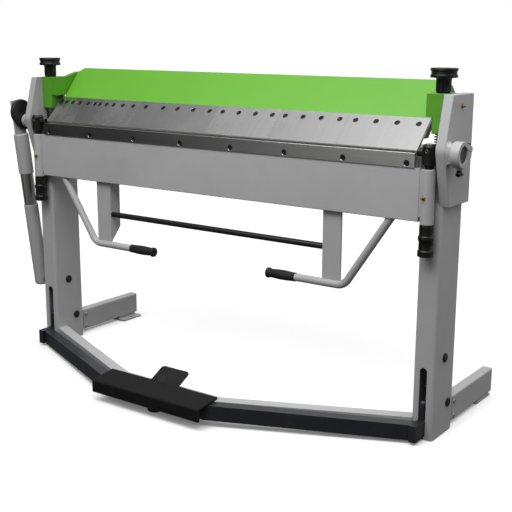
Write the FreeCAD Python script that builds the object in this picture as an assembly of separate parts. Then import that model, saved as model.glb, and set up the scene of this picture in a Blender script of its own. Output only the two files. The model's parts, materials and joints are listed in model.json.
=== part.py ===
import FreeCAD, Part
import math
import os

# Foot-operated box and pan brake, in millimetres.
# X runs along the bend, Y from front to back and Z up. While it is built, X = 0 is the middle
# of the working length, Y = 0 the bending edge and Z = 0 the floor. place() then moves each
# piece so that the origin is on the floor under the middle of the whole machine.

# Fingers of the clamping beam, from left to right
FINGER_WIDTHS = (25, 30, 35, 40, 45, 50, 75, 100, 150, 200, 250, 250, 270)
FINGER_SCREWS = (
    (12.5,), (15,), (17.5,), (20,), (22.5,), (12.5, 37.5), (20, 55), (25, 75), (35, 115),
    (30, 100, 170), (25, 91.7, 158.3, 225), (25, 91.7, 158.3, 225), (30, 100, 170, 240),
)
FINGER_JOINT = 0.3
FINGER_THICKNESS = 9.5
FINGER_TOP_Y = 84.0
FINGER_RISE = 85.0
FINGER_SCREW_SHARE = 0.8
SCREW_HEAD_RADIUS = 8.7
SCREW_HEAD_HEIGHT = 5.0
SCREW_RADIUS = 5.0
SCREW_GRIP = 16.0
SCREW_SEAT_DEPTH = 5.5
SHUT_GAP = 0.3

# Posts, heads and bed
POST_HEIGHT = 717.0
POST_WIDTH = 70.0
POST_DEPTH = 138.0
POST_FRONT = 20.0
POST_WALL = 5.0
POST_CORNER = 10.0
POST_FROM_FINGERS = 8.5
SIDE_FROM_FINGERS = 42.0
HEAD_FROM_FINGERS = 67.0
HEAD_THICKNESS = 29.0
HEAD_RISE = 158.0
HEAD_EDGE = 3.0
HEAD_SCREW_Y = 94.0
HEAD_SCREW_DROP = 62.5
HEAD_SCREW_RADIUS = 6.0
HEAD_SCREW_HEAD = 9.0
BOSS_RADIUS = 25.0
BOSS_LENGTH = 19.0
COLLAR_RADIUS = 37.0
COLLAR_LENGTH = 47.0
COLLAR_NECK = 20.0
COLLAR_NECK_RADIUS = 28.5
COLLAR_TILT = 18.0
COLLAR_EAR_REACH = 56.0
COLLAR_EAR_TOP = 36.0
COLLAR_EAR_HEIGHT = 34.0
COLLAR_BOLT_RADIUS = 4.0
COLLAR_BOLT_REACH = 43.0
COLLAR_LUG = ((30.0, -15.0), (31.0, -41.0), (9.0, -55.0), (2.0, -44.0), (2.0, -30.0))
COLLAR_LUG_WIDTH = 18.0
LUG_SCREW_GRIP = 20.0
SEAT_PLATE = 8.0
GIRDER_HEIGHT = 137.7
GIRDER_WALL = 10.0
GIRDER_END_WALL = 8.0
GIRDER_END_FRONT = 32.0
BLADE_THICKNESS = 12.0
BLADE_FRONT = 0.5
BLADE_LAND = 2.0
SLOT_WIDTH = 24.0
SLOT_BOTTOM = 5.0
SLOT_TOP = 227.0
SPINDLE_CLEARANCE = 1.0
GUIDE_Z = 250.0
GUIDE_BOLT_Y = 85.0
GUIDE_BOLT_RADIUS = 6.0
GUIDE_HALF_HEIGHT = 15.0
CAP_RADIUS = 14.0
CAP_THICKNESS = 6.0

# Bending leaf
AXIS_BELOW_BED = 3.2
LEAF_BELOW_AXIS = 3.5
LEAF_FRONT = -9.7
LEAF_THICKNESS = 25.0
LEAF_DEPTH = 196.5
LEAF_OVERHANG = 16.0
RAIL_THICKNESS = 12.0
RAIL_HEIGHT = 43.0
RAIL_PROUD = 3.0
RAIL_SCREW_PITCH = 210.0
RAIL_SCREW_COUNT = 8
RAIL_SCREW_DROP = 30.0
RAIL_SCREW_RADIUS = 4.4
RAIL_HEAD_RADIUS = 6.8
RAIL_HEAD_HEIGHT = 7.0
LEAF_FLAT = 2.0
SLEEVE_Y = -5.0
SLEEVE_RADIUS = 20.0
SLEEVE_LENGTH = 159.0
STEM_RADIUS = 11.0
BLOCK_RADIUS = 18.5
BLOCK_HEIGHT = 66.0
BLOCK_ABOVE_AXIS = 24.5
SHAFT_RADIUS = 14.0
SPIGOT_RADIUS = 9.0
SHAFT_END_RADIUS = 25.0
SHAFT_END_SETBACK = 4.0
LEAF_KNOB_LENGTH = 92.7
LEAF_KNOB_RADIUS = 20.5

# Handles under the leaf
HANDLE_RADIUS = 12.5
HANDLE_WALL = 2.5
HANDLE_Y = 6.0
HANDLE_TOP_X = 682.5
HANDLE_BEND_X = 529.0
HANDLE_INNER_X = 252.0
HANDLE_DROP = 230.0
HANDLE_BEND_RADIUS = 45.0
GRIP_OUTER_X = 352.0
GRIP_INNER_X = 243.0
GRIP_WALL = 2.5
GRIP_SWELL = 1.6
BRACKET_INNER_X = 450.0
BRACKET_OUTER_X = 516.0
BRACKET_THICKNESS = 6.0
BRACKET_DEPTH = 49.0
ROD_RADIUS = 10.0
ROD_DROP = 118.5

# Clamping beam, its end castings and the spindles
BAR_THICKNESS = 20.0
BAR_BOTTOM_RISE = 29.0
BEAM_REAR = 172.0
BEAM_BOTTOM_RISE = 78.0
BEAM_WALL = 10.0
COVER_THICKNESS = 3.0
COVER_LAP = 2.4
COVER_ANGLE = 51.0
COVER_LENGTH = 141.5
COVER_FOLD = (17.0, -20.0)
COVER_HALF_GAP = 3.0
COVER_CLIP_WIDTH = 26.0
COVER_CLIP_HEIGHT = 15.4
CASTING_PLATE = 20.0
CASTING_FRONT = 48.0
CASTING_DEPTH = 59.0
CASTING_SIDE_GAP = 2.0
CASTING_BOTTOM_RISE = 43.5
CASTING_TOP_RISE = 159.0
CASTING_PLATE_RISE = 92.0
SPINDLE_Y = 67.0
SPINDLE_RADIUS = 14.0
PULL_ROD_RADIUS = 9.0
FORK_PIN_RADIUS = 6.0
SPRING_WIRE = 2.0
SPRING_PLAY = 2.5
SPRING_TURNS = 5.5
KNOB_RADIUS = 39.0
KNOB_NECK_RADIUS = 22.0
KNOB_HEIGHT = 69.0

# Foot pedal
PEDAL_AXLE_Y = 120.0
PEDAL_AXLE_Z = 97.5
AXLE_RADIUS = 10.0
LEVER_THICKNESS = 12.0
PEDAL_ANGLE = 30.0
ARM_WIDTH = 22.0
ARM_FRONT = -40.0
ARM_REAR = 45.0
ARM_BOTTOM = 10.0
ARM_TOP = 62.0
BAR_DEPTH = 40.0
BAR_HEIGHT = 49.3
BAR_MIDDLE_HALF = 212.0
BAR_MIDDLE_FRONT = -292.0
BAR_WALL = 3.0
TREAD_HALF = 226.0
TREAD_FRONT = -338.0
TREAD_REAR = -240.0
TREAD_FRONT_TOP = 72.0
TREAD_REAR_TOP = 83.0
TREAD_LIP_BOTTOM = 31.0
TREAD_THICKNESS = 6.0
MAT_THICKNESS = 2.0
TAB_HALF = 58.0
PEDAL_FOOT_RADIUS = 24.0
PEDAL_FOOT_Y = -280.0

# Tie beam and rear feet
TIE_MIDDLE_HALF = 200.0
TIE_MIDDLE_FRONT = -232.0
TIE_END_FRONT = 22.3
TIE_DEPTH = 44.0
TIE_BOTTOM = 12.0
TIE_TOP = 62.0
TIE_WALL = 3.0
FOOT_FROM_FINGERS = 33.0
FOOT_WIDTH = 36.0
FOOT_BOTTOM = 12.6
FOOT_TOP = 96.0
FOOT_REAR = 500.0
FOOT_WALL = 3.0
FOOT_COLLAR = 23.0
FOOT_TONGUE = 50.0
FOOT_BOLT_Y = 197.0
FOOT_BOLT_RADIUS = 5.0
FOOT_BOLT_HEIGHTS = (24.0, 73.0)
ANCHOR_INNER = 31.0
ANCHOR_FRONT = 386.0
ANCHOR_THICKNESS = 6.0
ANCHOR_HOLE_Y = 445.0
ANCHOR_HOLE_RADIUS = 6.0

# Balance strut at the left end
STRUT_FROM_HEAD = 39.0
CRANK_THICKNESS = 13.0
CRANK_PIN_Y = -20.0
CRANK_PIN_RISE = 32.0
CRANK_PIN_RADIUS = 8.0
CRANK_END_RADIUS = 47.0
CRANK_HUB_RADIUS = 35.0
STRUT_FOOT_Y = 57.0
STRUT_FOOT_Z = 255.0
STRUT_PIN_RADIUS = 6.0
STRUT_UPPER_RADIUS = 28.0
STRUT_ROD_RADIUS = 24.5
STRUT_LOWER_RADIUS = 27.0
STRUT_TUBE_START = 83.0
STRUT_TUBE_END = 236.0
STRUT_LOWER_START = 361.0
STRUT_TAIL = 37.0
STRUT_STROKE = 46.0
STRUT_WINDOW = (31.0, 35.0)
STRUT_WINDOW_SHIFT = (7.3, 8.9)

# Fits
RUNNING = 0.05
SEAT = 0.3

# Derived planes and heights
HALF_LENGTH = sum(FINGER_WIDTHS) / 2
SIDE_X = HALF_LENGTH + SIDE_FROM_FINGERS
POST_INNER = HALF_LENGTH + POST_FROM_FINGERS
POST_OUTER = POST_INNER + POST_WIDTH
POST_REAR = POST_FRONT + POST_DEPTH
HEAD_INNER = HALF_LENGTH + HEAD_FROM_FINGERS
HEAD_OUTER = HEAD_INNER + HEAD_THICKNESS
GIRDER_BOTTOM = POST_HEIGHT + SEAT_PLATE
GIRDER_TOP = GIRDER_BOTTOM + GIRDER_HEIGHT
BED_TOP = GIRDER_TOP + BLADE_THICKNESS
AXIS_Z = BED_TOP - AXIS_BELOW_BED
CLAMP_Z = BED_TOP + SHUT_GAP
LEAF_TOP = AXIS_Z - LEAF_BELOW_AXIS
LEAF_BOTTOM = LEAF_TOP - LEAF_DEPTH
LEAF_BACK = LEAF_FRONT + LEAF_THICKNESS
RAIL_FRONT = LEAF_FRONT - RAIL_PROUD
RAIL_BACK = RAIL_FRONT + RAIL_THICKNESS
RAIL_BOTTOM = LEAF_TOP - RAIL_HEIGHT
SLEEVE_TOP = RAIL_BOTTOM
SLEEVE_BOTTOM = SLEEVE_TOP - SLEEVE_LENGTH
CASTING_BOTTOM = CLAMP_Z + CASTING_BOTTOM_RISE
CASTING_TOP = CLAMP_Z + CASTING_TOP_RISE
FOOT_X = HALF_LENGTH + FOOT_FROM_FINGERS
STRUT_X = HEAD_OUTER + STRUT_FROM_HEAD
LEVER_REACH = PEDAL_AXLE_Y - SPINDLE_Y
CLAMP_LIFT = LEVER_REACH * math.radians(PEDAL_ANGLE)
COLLAR_START = HEAD_OUTER + COLLAR_NECK
COLLAR_END = HEAD_OUTER + COLLAR_LENGTH
COLLAR_BOLT_X = (COLLAR_START + COLLAR_END) / 2
SHAFT_END = COLLAR_END - SHAFT_END_SETBACK
HEAD_SCREW_Z = AXIS_Z - HEAD_SCREW_DROP
GRIP_RADIUS = HANDLE_RADIUS + GRIP_WALL
COVER_SETBACK = FINGER_THICKNESS - COVER_LAP
SPRING_RADIUS = SPINDLE_RADIUS + SPRING_WIRE + SPRING_PLAY
RAIL_SCREW_Z = LEAF_TOP - RAIL_SCREW_DROP
FACE_LENGTH = math.hypot(FINGER_TOP_Y, FINGER_RISE)
FACE_UP = (FINGER_TOP_Y / FACE_LENGTH, FINGER_RISE / FACE_LENGTH)
FACE_OUT = (-FACE_UP[1], FACE_UP[0])
TREAD_SLOPE = (TREAD_REAR_TOP - TREAD_FRONT_TOP) / (TREAD_REAR - TREAD_FRONT)
TREAD_DROP = TREAD_THICKNESS * math.hypot(1, TREAD_SLOPE)
BAR_MIDDLE_TOP = TREAD_FRONT_TOP + TREAD_SLOPE * (BAR_MIDDLE_FRONT - TREAD_FRONT) - TREAD_DROP
BAR_MIDDLE_BOTTOM = BAR_MIDDLE_TOP - BAR_HEIGHT
STRUT_LINE = FreeCAD.Vector(
    0, STRUT_FOOT_Y - CRANK_PIN_Y, STRUT_FOOT_Z - AXIS_Z - CRANK_PIN_RISE
)
ORIGIN = FreeCAD.Vector(
    (COLLAR_END - STRUT_X - STRUT_UPPER_RADIUS) / 2, (TREAD_FRONT + FOOT_REAR) / 2, 0
)


X_AXIS = FreeCAD.Vector(1, 0, 0)
Y_AXIS = FreeCAD.Vector(0, 1, 0)
Z_AXIS = FreeCAD.Vector(0, 0, 1)


def box(low_x, high_x, low_y, high_y, low_z, high_z):
    """Upright block between two corners."""
    corner = FreeCAD.Vector(low_x, low_y, low_z)
    return Part.makeBox(high_x - low_x, high_y - low_y, high_z - low_z, corner)


def cylinder(radius, start, end):
    """Round bar between the centres of its two ends."""
    first = FreeCAD.Vector(*start)
    axis = FreeCAD.Vector(*end) - first
    return Part.makeCylinder(radius, axis.Length, first, axis)


def rounded_edges(corners):
    """Edges of a closed outline in its own plane: each corner is (u, v, radius)."""
    count = len(corners)
    starts = []
    ends = []
    middles = []
    for index in range(count):
        u, v, radius = corners[index]
        point = FreeCAD.Vector(u, v, 0)
        before = FreeCAD.Vector(corners[index - 1][0], corners[index - 1][1], 0) - point
        after_corner = corners[(index + 1) % count]
        after = FreeCAD.Vector(after_corner[0], after_corner[1], 0) - point
        before.normalize()
        after.normalize()
        half = before.getAngle(after) / 2
        reach = radius / math.tan(half)
        starts.append(point + before * reach)
        ends.append(point + after * reach)
        inward = (before + after).normalize() if radius else before
        middles.append(point + inward * (radius / math.sin(half) - radius))
    edges = []
    for index in range(count):
        if corners[index][2]:
            edges.append(Part.Arc(starts[index], middles[index], ends[index]).toShape())
        following = starts[(index + 1) % count]
        if following.distanceToPoint(ends[index]) > 1e-6:
            edges.append(Part.LineSegment(ends[index], following).toShape())
    return edges


def extruded(corners, plane, low, high):
    """Prism of a rounded outline: plane is "yz", "xz" or "xy", from low to high across it."""
    full = [corner if len(corner) == 3 else (corner[0], corner[1], 0) for corner in corners]
    face = Part.Face(Part.Wire(rounded_edges(full)))
    right, up, out = {
        "yz": (Y_AXIS, Z_AXIS, X_AXIS),
        "xz": (X_AXIS, Z_AXIS, Y_AXIS * -1),
        "xy": (X_AXIS, Y_AXIS, Z_AXIS),
    }[plane]
    travel = {"yz": X_AXIS, "xz": Y_AXIS, "xy": Z_AXIS}[plane]
    face.Placement = FreeCAD.Placement(travel * low, FreeCAD.Rotation(right, up, out))
    return face.extrude(travel * (high - low))


def turned(profile, centre, axis):
    """Body of revolution: profile is (radius, height) pairs, closed along the axis."""
    points = [FreeCAD.Vector(radius, 0, height) for radius, height in profile]
    points.append(points[0])
    solid = Part.Face(Part.makePolygon(points)).revolve(
        FreeCAD.Vector(0, 0, 0), FreeCAD.Vector(0, 0, 1), 360
    )
    turn = FreeCAD.Rotation(FreeCAD.Vector(0, 0, 1), FreeCAD.Vector(*axis))
    solid.Placement = FreeCAD.Placement(FreeCAD.Vector(*centre), turn)
    return solid


def sheet(points, thickness):
    """Outline of a bent sheet: an open path and its parallel to the right, mitred."""
    vectors = [FreeCAD.Vector(u, v, 0) for u, v in points]
    normals = []
    for first, second in zip(vectors, vectors[1:]):
        along = (second - first).normalize()
        normals.append(FreeCAD.Vector(along.y, -along.x, 0))
    inner = [vectors[0] + normals[0] * thickness]
    for index in range(1, len(vectors) - 1):
        both = normals[index - 1] + normals[index]
        inner.append(vectors[index] + both * (2 * thickness / both.dot(both)))
    inner.append(vectors[-1] + normals[-1] * thickness)
    return [(point.x, point.y) for point in vectors + inner[::-1]]


def mirrored(shape):
    """The same piece at the other end of the machine."""
    return shape.mirror(FreeCAD.Vector(0, 0, 0), FreeCAD.Vector(1, 0, 0))


def both_ends(shape):
    """The piece and its mirror image, as two solids."""
    return [shape, mirrored(shape)]


def joined(first, *others):
    """One solid from pieces that are welded or cast together."""
    return first.fuse(list(others)).removeSplitter()


def place(shape):
    """Move a finished piece from the building frame to the machine's own frame."""
    moved = shape.copy()
    moved.translate(ORIGIN * -1)
    return moved


def post():
    """Right post: rounded tube with the pedal slot in front and a seat plate on top."""
    middle_x = (POST_INNER + POST_OUTER) / 2
    outline = [(POST_INNER, POST_FRONT), (POST_OUTER, POST_FRONT),
               (POST_OUTER, POST_REAR), (POST_INNER, POST_REAR)]
    inside = [(x + math.copysign(POST_WALL, middle_x - x),
               y + math.copysign(POST_WALL, POST_FRONT + 1 - y)) for x, y in outline]
    outer = extruded([(x, y, POST_CORNER) for x, y in outline], "xy", 0, POST_HEIGHT)
    bore = extruded([(x, y, POST_CORNER - POST_WALL) for x, y in inside], "xy", -1, POST_HEIGHT + 1)
    tube = outer.cut(bore)
    seat = box(POST_INNER, HEAD_INNER, POST_FRONT, POST_REAR, POST_HEIGHT, GIRDER_BOTTOM)
    half = SLOT_WIDTH / 2
    slot_outline = [(SIDE_X - half, SLOT_BOTTOM, 0), (SIDE_X + half, SLOT_BOTTOM, 0),
                    (SIDE_X + half, SLOT_TOP, half - 0.01), (SIDE_X - half, SLOT_TOP, half - 0.01)]
    slot = extruded(slot_outline, "xz", POST_FRONT - 1, POST_FRONT + POST_WALL + 1)
    holes = [
        cylinder(AXLE_RADIUS + RUNNING, (POST_INNER - 1, PEDAL_AXLE_Y, PEDAL_AXLE_Z),
                 (POST_OUTER + 1, PEDAL_AXLE_Y, PEDAL_AXLE_Z)),
        cylinder(GUIDE_BOLT_RADIUS + RUNNING, (POST_INNER - 1, GUIDE_BOLT_Y, GUIDE_Z),
                 (POST_OUTER + 1, GUIDE_BOLT_Y, GUIDE_Z)),
        cylinder(SPINDLE_RADIUS + SPINDLE_CLEARANCE, (SIDE_X, SPINDLE_Y, POST_HEIGHT - 1),
                 (SIDE_X, SPINDLE_Y, GIRDER_BOTTOM + 1)),
    ]
    return joined(tube, seat).cut([slot] + holes)


def rod_guide():
    """Right guide block inside the post, bored for the pull rod and its own cross bolt."""
    block = box(POST_INNER + POST_WALL, POST_OUTER - POST_WALL, SPINDLE_Y - 17, GUIDE_BOLT_Y + 15,
                GUIDE_Z - GUIDE_HALF_HEIGHT, GUIDE_Z + GUIDE_HALF_HEIGHT)
    rod_bore = cylinder(PULL_ROD_RADIUS + RUNNING, (SIDE_X, SPINDLE_Y, GUIDE_Z - 20),
                        (SIDE_X, SPINDLE_Y, GUIDE_Z + 20))
    bolt_bore = cylinder(GUIDE_BOLT_RADIUS + RUNNING, (POST_INNER, GUIDE_BOLT_Y, GUIDE_Z),
                         (POST_OUTER, GUIDE_BOLT_Y, GUIDE_Z))
    return block.cut([rod_bore, bolt_bore])


def capped_bolt(radius, y, z):
    """Cross bolt through the right post with a domed cap on each face."""
    rim = CAP_THICKNESS - 2
    profile = [(0, -CAP_THICKNESS), (CAP_RADIUS - 4, -CAP_THICKNESS), (CAP_RADIUS, -rim),
               (CAP_RADIUS, 0), (radius, 0), (radius, POST_WIDTH), (CAP_RADIUS, POST_WIDTH),
               (CAP_RADIUS, POST_WIDTH + rim), (CAP_RADIUS - 4, POST_WIDTH + CAP_THICKNESS),
               (0, POST_WIDTH + CAP_THICKNESS)]
    return turned(profile, (POST_INNER, y, z), (1, 0, 0))


def head_outline():
    """Side view of a head: straight back, front tapering to a nose at the bending axis."""
    top = CLAMP_Z + HEAD_RISE
    return [(20.0, top, 3), (POST_REAR + 2, top, 8), (POST_REAR + 2, POST_HEIGHT, 0),
            (23.0, POST_HEIGHT, 0), (-23.3, AXIS_Z + 7, 45)]


def head():
    """Right head, bored for the leaf shaft and for the screw into the girder's end."""
    plate = extruded(head_outline(), "yz", HEAD_INNER, HEAD_OUTER)
    rim = [edge for edge in plate.Edges
           if edge.BoundBox.XMin > HEAD_OUTER - 1 and edge.BoundBox.ZMax > POST_HEIGHT + 1]
    plate = plate.makeFillet(HEAD_EDGE, rim)
    bore = cylinder(SHAFT_RADIUS + RUNNING, (HEAD_INNER - 1, 0, AXIS_Z), (HEAD_OUTER + 1, 0, AXIS_Z))
    screw = cylinder(HEAD_SCREW_RADIUS + RUNNING, (HEAD_INNER - 1, HEAD_SCREW_Y, HEAD_SCREW_Z),
                     (HEAD_OUTER + 1, HEAD_SCREW_Y, HEAD_SCREW_Z))
    return plate.cut([bore, screw])


def left_head():
    """Left head, with a round boss that carries the crank's shaft."""
    boss = cylinder(BOSS_RADIUS, (HEAD_OUTER, 0, AXIS_Z), (HEAD_OUTER + BOSS_LENGTH, 0, AXIS_Z))
    rim = [edge for edge in boss.Edges if edge.BoundBox.XMin > HEAD_OUTER + 1 and edge.Closed]
    boss = boss.makeFillet(6, rim)
    bore = cylinder(SHAFT_RADIUS + RUNNING, (HEAD_OUTER - 1, 0, AXIS_Z),
                    (HEAD_OUTER + BOSS_LENGTH + 1, 0, AXIS_Z))
    return mirrored(joined(head(), boss).cut(bore))


def tilted(shape):
    """Turn a piece of the collar about the bending axis, its rear end down."""
    return shape.rotated(FreeCAD.Vector(0, 0, AXIS_Z), X_AXIS, -COLLAR_TILT)


def collar_neck():
    """Neck of the collar, flaring to the head and trimmed flush with the head's front."""
    start = COLLAR_NECK_RADIUS
    profile = [(0, 0), (start + 9, 0), (start + 4.5, 2.5), (start + 1.5, 7), (start, 12),
               (start, COLLAR_NECK + 1), (0, COLLAR_NECK + 1)]
    flare = turned(profile, (HEAD_OUTER, 0, AXIS_Z), (1, 0, 0))
    return flare.common(extruded(head_outline(), "yz", HEAD_OUTER - 1, COLLAR_END))


def hub_collar():
    """Split clamp collar round the end of the right shaft: neck, tilted ears and screw lug."""
    width = COLLAR_END - COLLAR_START
    ring = turned([(0, 0), (COLLAR_RADIUS - 1.5, 0), (COLLAR_RADIUS, 1.5),
                   (COLLAR_RADIUS, width - 1), (COLLAR_RADIUS - 1, width), (0, width)],
                  (COLLAR_START, 0, AXIS_Z), (1, 0, 0))
    low = AXIS_Z + COLLAR_EAR_TOP - COLLAR_EAR_HEIGHT
    high = AXIS_Z + COLLAR_EAR_TOP
    ears = extruded([(0, low, 0), (COLLAR_EAR_REACH, low, 6), (COLLAR_EAR_REACH, high, 6),
                     (0, high, 0)], "yz", COLLAR_START + 2, COLLAR_END - 2)
    bore = cylinder(SHAFT_RADIUS + RUNNING, (HEAD_OUTER - 1, 0, AXIS_Z), (COLLAR_END, 0, AXIS_Z))
    seat_bore = cylinder(SHAFT_END_RADIUS + RUNNING, (COLLAR_START, 0, AXIS_Z),
                         (COLLAR_END + 1, 0, AXIS_Z))
    middle = (low + high) / 2
    slit = box(COLLAR_START - 1, COLLAR_END + 1, 2, COLLAR_EAR_REACH + 10, middle - 1, middle + 1)
    bolt = cylinder(COLLAR_BOLT_RADIUS + RUNNING, (COLLAR_BOLT_X, COLLAR_BOLT_REACH, low - 1),
                    (COLLAR_BOLT_X, COLLAR_BOLT_REACH, high + 1))
    half = COLLAR_LUG_WIDTH / 2
    lug = extruded([(y, AXIS_Z + z) for y, z in COLLAR_LUG], "yz", COLLAR_BOLT_X - half,
                   COLLAR_BOLT_X + half)
    seat, direction = lug_screw_seat()
    hole = cylinder(COLLAR_BOLT_RADIUS + RUNNING, seat + direction, seat - direction * (LUG_SCREW_GRIP + 1))
    collar = joined(ring, collar_neck(), tilted(ears), lug)
    return collar.cut([bore, seat_bore, tilted(slit), tilted(bolt), hole])


def lug_screw_seat():
    """Middle of the lug's end face, and the way the screw's head points from it."""
    (low_y, low_z), (high_y, high_z) = COLLAR_LUG[2:4]
    seat = FreeCAD.Vector(COLLAR_BOLT_X, (low_y + high_y) / 2, AXIS_Z + (low_z + high_z) / 2)
    return seat, FreeCAD.Vector(0, low_z - high_z, high_y - low_y).normalize()


def plain_screw(head_radius, head_height, radius, length):
    """Screw pointing down from the origin, its round head above it."""
    return turned([(0, -length), (radius, -length), (radius, 0), (head_radius, 0),
                   (head_radius, head_height), (0, head_height)], (0, 0, 0), (0, 0, 1))


def aimed(shape, point, direction):
    """Put a piece made along +Z at a point, pointing its +Z along a direction."""
    moved = shape.copy()
    turn = FreeCAD.Rotation(FreeCAD.Vector(0, 0, 1), FreeCAD.Vector(*direction))
    moved.Placement = FreeCAD.Placement(FreeCAD.Vector(*point), turn)
    return moved


def head_screws():
    """Screws that hold the heads to the girder, the collar's bolt and the screw in its lug."""
    screw = plain_screw(HEAD_SCREW_HEAD, 6.0, HEAD_SCREW_RADIUS, HEAD_THICKNESS + GIRDER_END_WALL)
    placed = aimed(screw, (HEAD_OUTER, HEAD_SCREW_Y, HEAD_SCREW_Z), (1, 0, 0))
    clamp = plain_screw(7.0, 7.0, COLLAR_BOLT_RADIUS, COLLAR_EAR_HEIGHT - 4)
    bolt = aimed(clamp, (COLLAR_BOLT_X, COLLAR_BOLT_REACH, AXIS_Z + COLLAR_EAR_TOP), (0, 0, 1))
    seat, direction = lug_screw_seat()
    stop = aimed(plain_screw(7.0, 13.0, COLLAR_BOLT_RADIUS, LUG_SCREW_GRIP), seat, direction)
    return both_ends(placed) + [tilted(bolt), stop]


def girder_holes(low, high):
    """Vertical clearance holes for the two spindles."""
    return [cylinder(SPINDLE_RADIUS + SPINDLE_CLEARANCE, (side * SIDE_X, SPINDLE_Y, low),
                     (side * SIDE_X, SPINDLE_Y, high)) for side in (-1, 1)]


def bed_girder():
    """Closed box girder between the heads, set back at its ends to clear the leaf's pivots."""
    notch_x = HALF_LENGTH + 5
    outline = [(-HEAD_INNER, POST_REAR), (-HEAD_INNER, GIRDER_END_FRONT),
               (-notch_x, GIRDER_END_FRONT), (-notch_x, POST_FRONT), (notch_x, POST_FRONT),
               (notch_x, GIRDER_END_FRONT), (HEAD_INNER, GIRDER_END_FRONT), (HEAD_INNER, POST_REAR)]
    skin = extruded(outline, "xy", GIRDER_BOTTOM, GIRDER_TOP)
    low = GIRDER_BOTTOM + GIRDER_WALL
    high = GIRDER_TOP - GIRDER_WALL
    front = POST_FRONT + GIRDER_WALL
    rear = POST_REAR - GIRDER_WALL
    end_front = GIRDER_END_FRONT + GIRDER_WALL
    end = HEAD_INNER - GIRDER_END_WALL
    hollow = joined(box(-notch_x + GIRDER_WALL, notch_x - GIRDER_WALL, front, rear, low, high),
                    box(-end, end, end_front, rear, low, high))
    pad = box(notch_x, HEAD_INNER, GIRDER_END_FRONT, POST_REAR, GIRDER_TOP, BED_TOP)
    screw = cylinder(HEAD_SCREW_RADIUS + RUNNING, (end - 1, HEAD_SCREW_Y, HEAD_SCREW_Z),
                     (HEAD_INNER + 1, HEAD_SCREW_Y, HEAD_SCREW_Z))
    holes = girder_holes(GIRDER_BOTTOM - 1, BED_TOP + 1) + both_ends(screw)
    return joined(skin, pad, mirrored(pad)).cut([hollow] + holes)


def bed_blade():
    """Bed plate with the narrow land and the 45 degree relief under its nose."""
    relief = BLADE_THICKNESS - BLADE_LAND
    outline = [(BLADE_FRONT, BED_TOP), (BLADE_FRONT, BED_TOP - BLADE_LAND),
               (BLADE_FRONT + relief, GIRDER_TOP), (POST_REAR, GIRDER_TOP), (POST_REAR, BED_TOP)]
    return extruded(outline, "yz", -HALF_LENGTH, HALF_LENGTH)


def bent_bar(middle_half, end_half, middle_front, end_front, depth):
    """Plan of a bar that runs back at both ends: straight in the middle, slanted outside."""
    front = [(-end_half, end_front), (-middle_half, middle_front),
             (middle_half, middle_front), (end_half, end_front)]
    return front + [(x, y + depth) for x, y in reversed(front)]


def tie_beam():
    """Fixed bent tube between the posts, just behind the pedal bar."""
    outer = bent_bar(TIE_MIDDLE_HALF, POST_INNER, TIE_MIDDLE_FRONT, TIE_END_FRONT, TIE_DEPTH)
    slope = (TIE_END_FRONT - TIE_MIDDLE_FRONT) / (POST_INNER - TIE_MIDDLE_HALF)
    inner = bent_bar(TIE_MIDDLE_HALF, POST_INNER + 5, TIE_MIDDLE_FRONT + TIE_WALL,
                     TIE_END_FRONT + TIE_WALL + 5 * slope, TIE_DEPTH - 2 * TIE_WALL)
    tube = extruded(outer, "xy", TIE_BOTTOM, TIE_TOP)
    return tube.cut(extruded(inner, "xy", TIE_BOTTOM + TIE_WALL, TIE_TOP - TIE_WALL))


def foot():
    """Right rear foot: tongue on the post, rounded tube bolted over it, anchor plate below."""
    low = FOOT_X
    high = FOOT_X + FOOT_WIDTH
    start = POST_REAR + FOOT_COLLAR
    shell = [(low, FOOT_BOTTOM, 6), (high, FOOT_BOTTOM, 6), (high, FOOT_TOP, 6), (low, FOOT_TOP, 6)]
    wall = FOOT_WALL
    hollow = [(low + wall, FOOT_BOTTOM + wall, 3), (high - wall, FOOT_BOTTOM + wall, 3),
              (high - wall, FOOT_TOP - wall, 3), (low + wall, FOOT_TOP - wall, 3)]
    core = tongue_outline(hollow)
    bolts = [cylinder(FOOT_BOLT_RADIUS + RUNNING, (low - 1, FOOT_BOLT_Y, z), (high + 1, FOOT_BOLT_Y, z))
             for z in FOOT_BOLT_HEIGHTS]
    tube = extruded(shell, "xz", start, FOOT_REAR)
    tube = tube.cut([extruded(hollow, "xz", start - 1, FOOT_REAR - wall)] + bolts)
    collar = [(low + 1, FOOT_BOTTOM + 1, 5), (high - 1, FOOT_BOTTOM + 1, 5),
              (high - 1, FOOT_TOP - 1, 5), (low + 1, FOOT_TOP - 1, 5)]
    tongue = joined(extruded(collar, "xz", POST_REAR, start),
                    extruded(core, "xz", start, start + FOOT_TONGUE)).cut(bolts)
    plate_inner = HALF_LENGTH + FOOT_FROM_FINGERS - ANCHOR_INNER
    plate = extruded([(plate_inner, ANCHOR_FRONT, 8), (high - 2, ANCHOR_FRONT, 3),
                      (high - 2, FOOT_REAR - 2, 3), (plate_inner, FOOT_REAR - 2, 8)],
                     "xy", 0, ANCHOR_THICKNESS)
    pad = box(low + 5, high - 5, ANCHOR_FRONT + 10, FOOT_REAR - 10, ANCHOR_THICKNESS, FOOT_BOTTOM)
    hole_x = (plate_inner + low) / 2
    hole = cylinder(ANCHOR_HOLE_RADIUS, (hole_x, ANCHOR_HOLE_Y, -1), (hole_x, ANCHOR_HOLE_Y, 10))
    return [tube, tongue, joined(plate, pad).cut(hole)]


def tongue_outline(hollow):
    """Outline of the tongue, a running clearance smaller than the foot tube's inside."""
    xs = [corner[0] for corner in hollow]
    zs = [corner[1] for corner in hollow]
    low_x = min(xs) + RUNNING
    high_x = max(xs) - RUNNING
    low_z = min(zs) + RUNNING
    high_z = max(zs) - RUNNING
    radius = hollow[0][2]
    return [(low_x, low_z, radius), (high_x, low_z, radius), (high_x, high_z, radius),
            (low_x, high_z, radius)]


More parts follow.
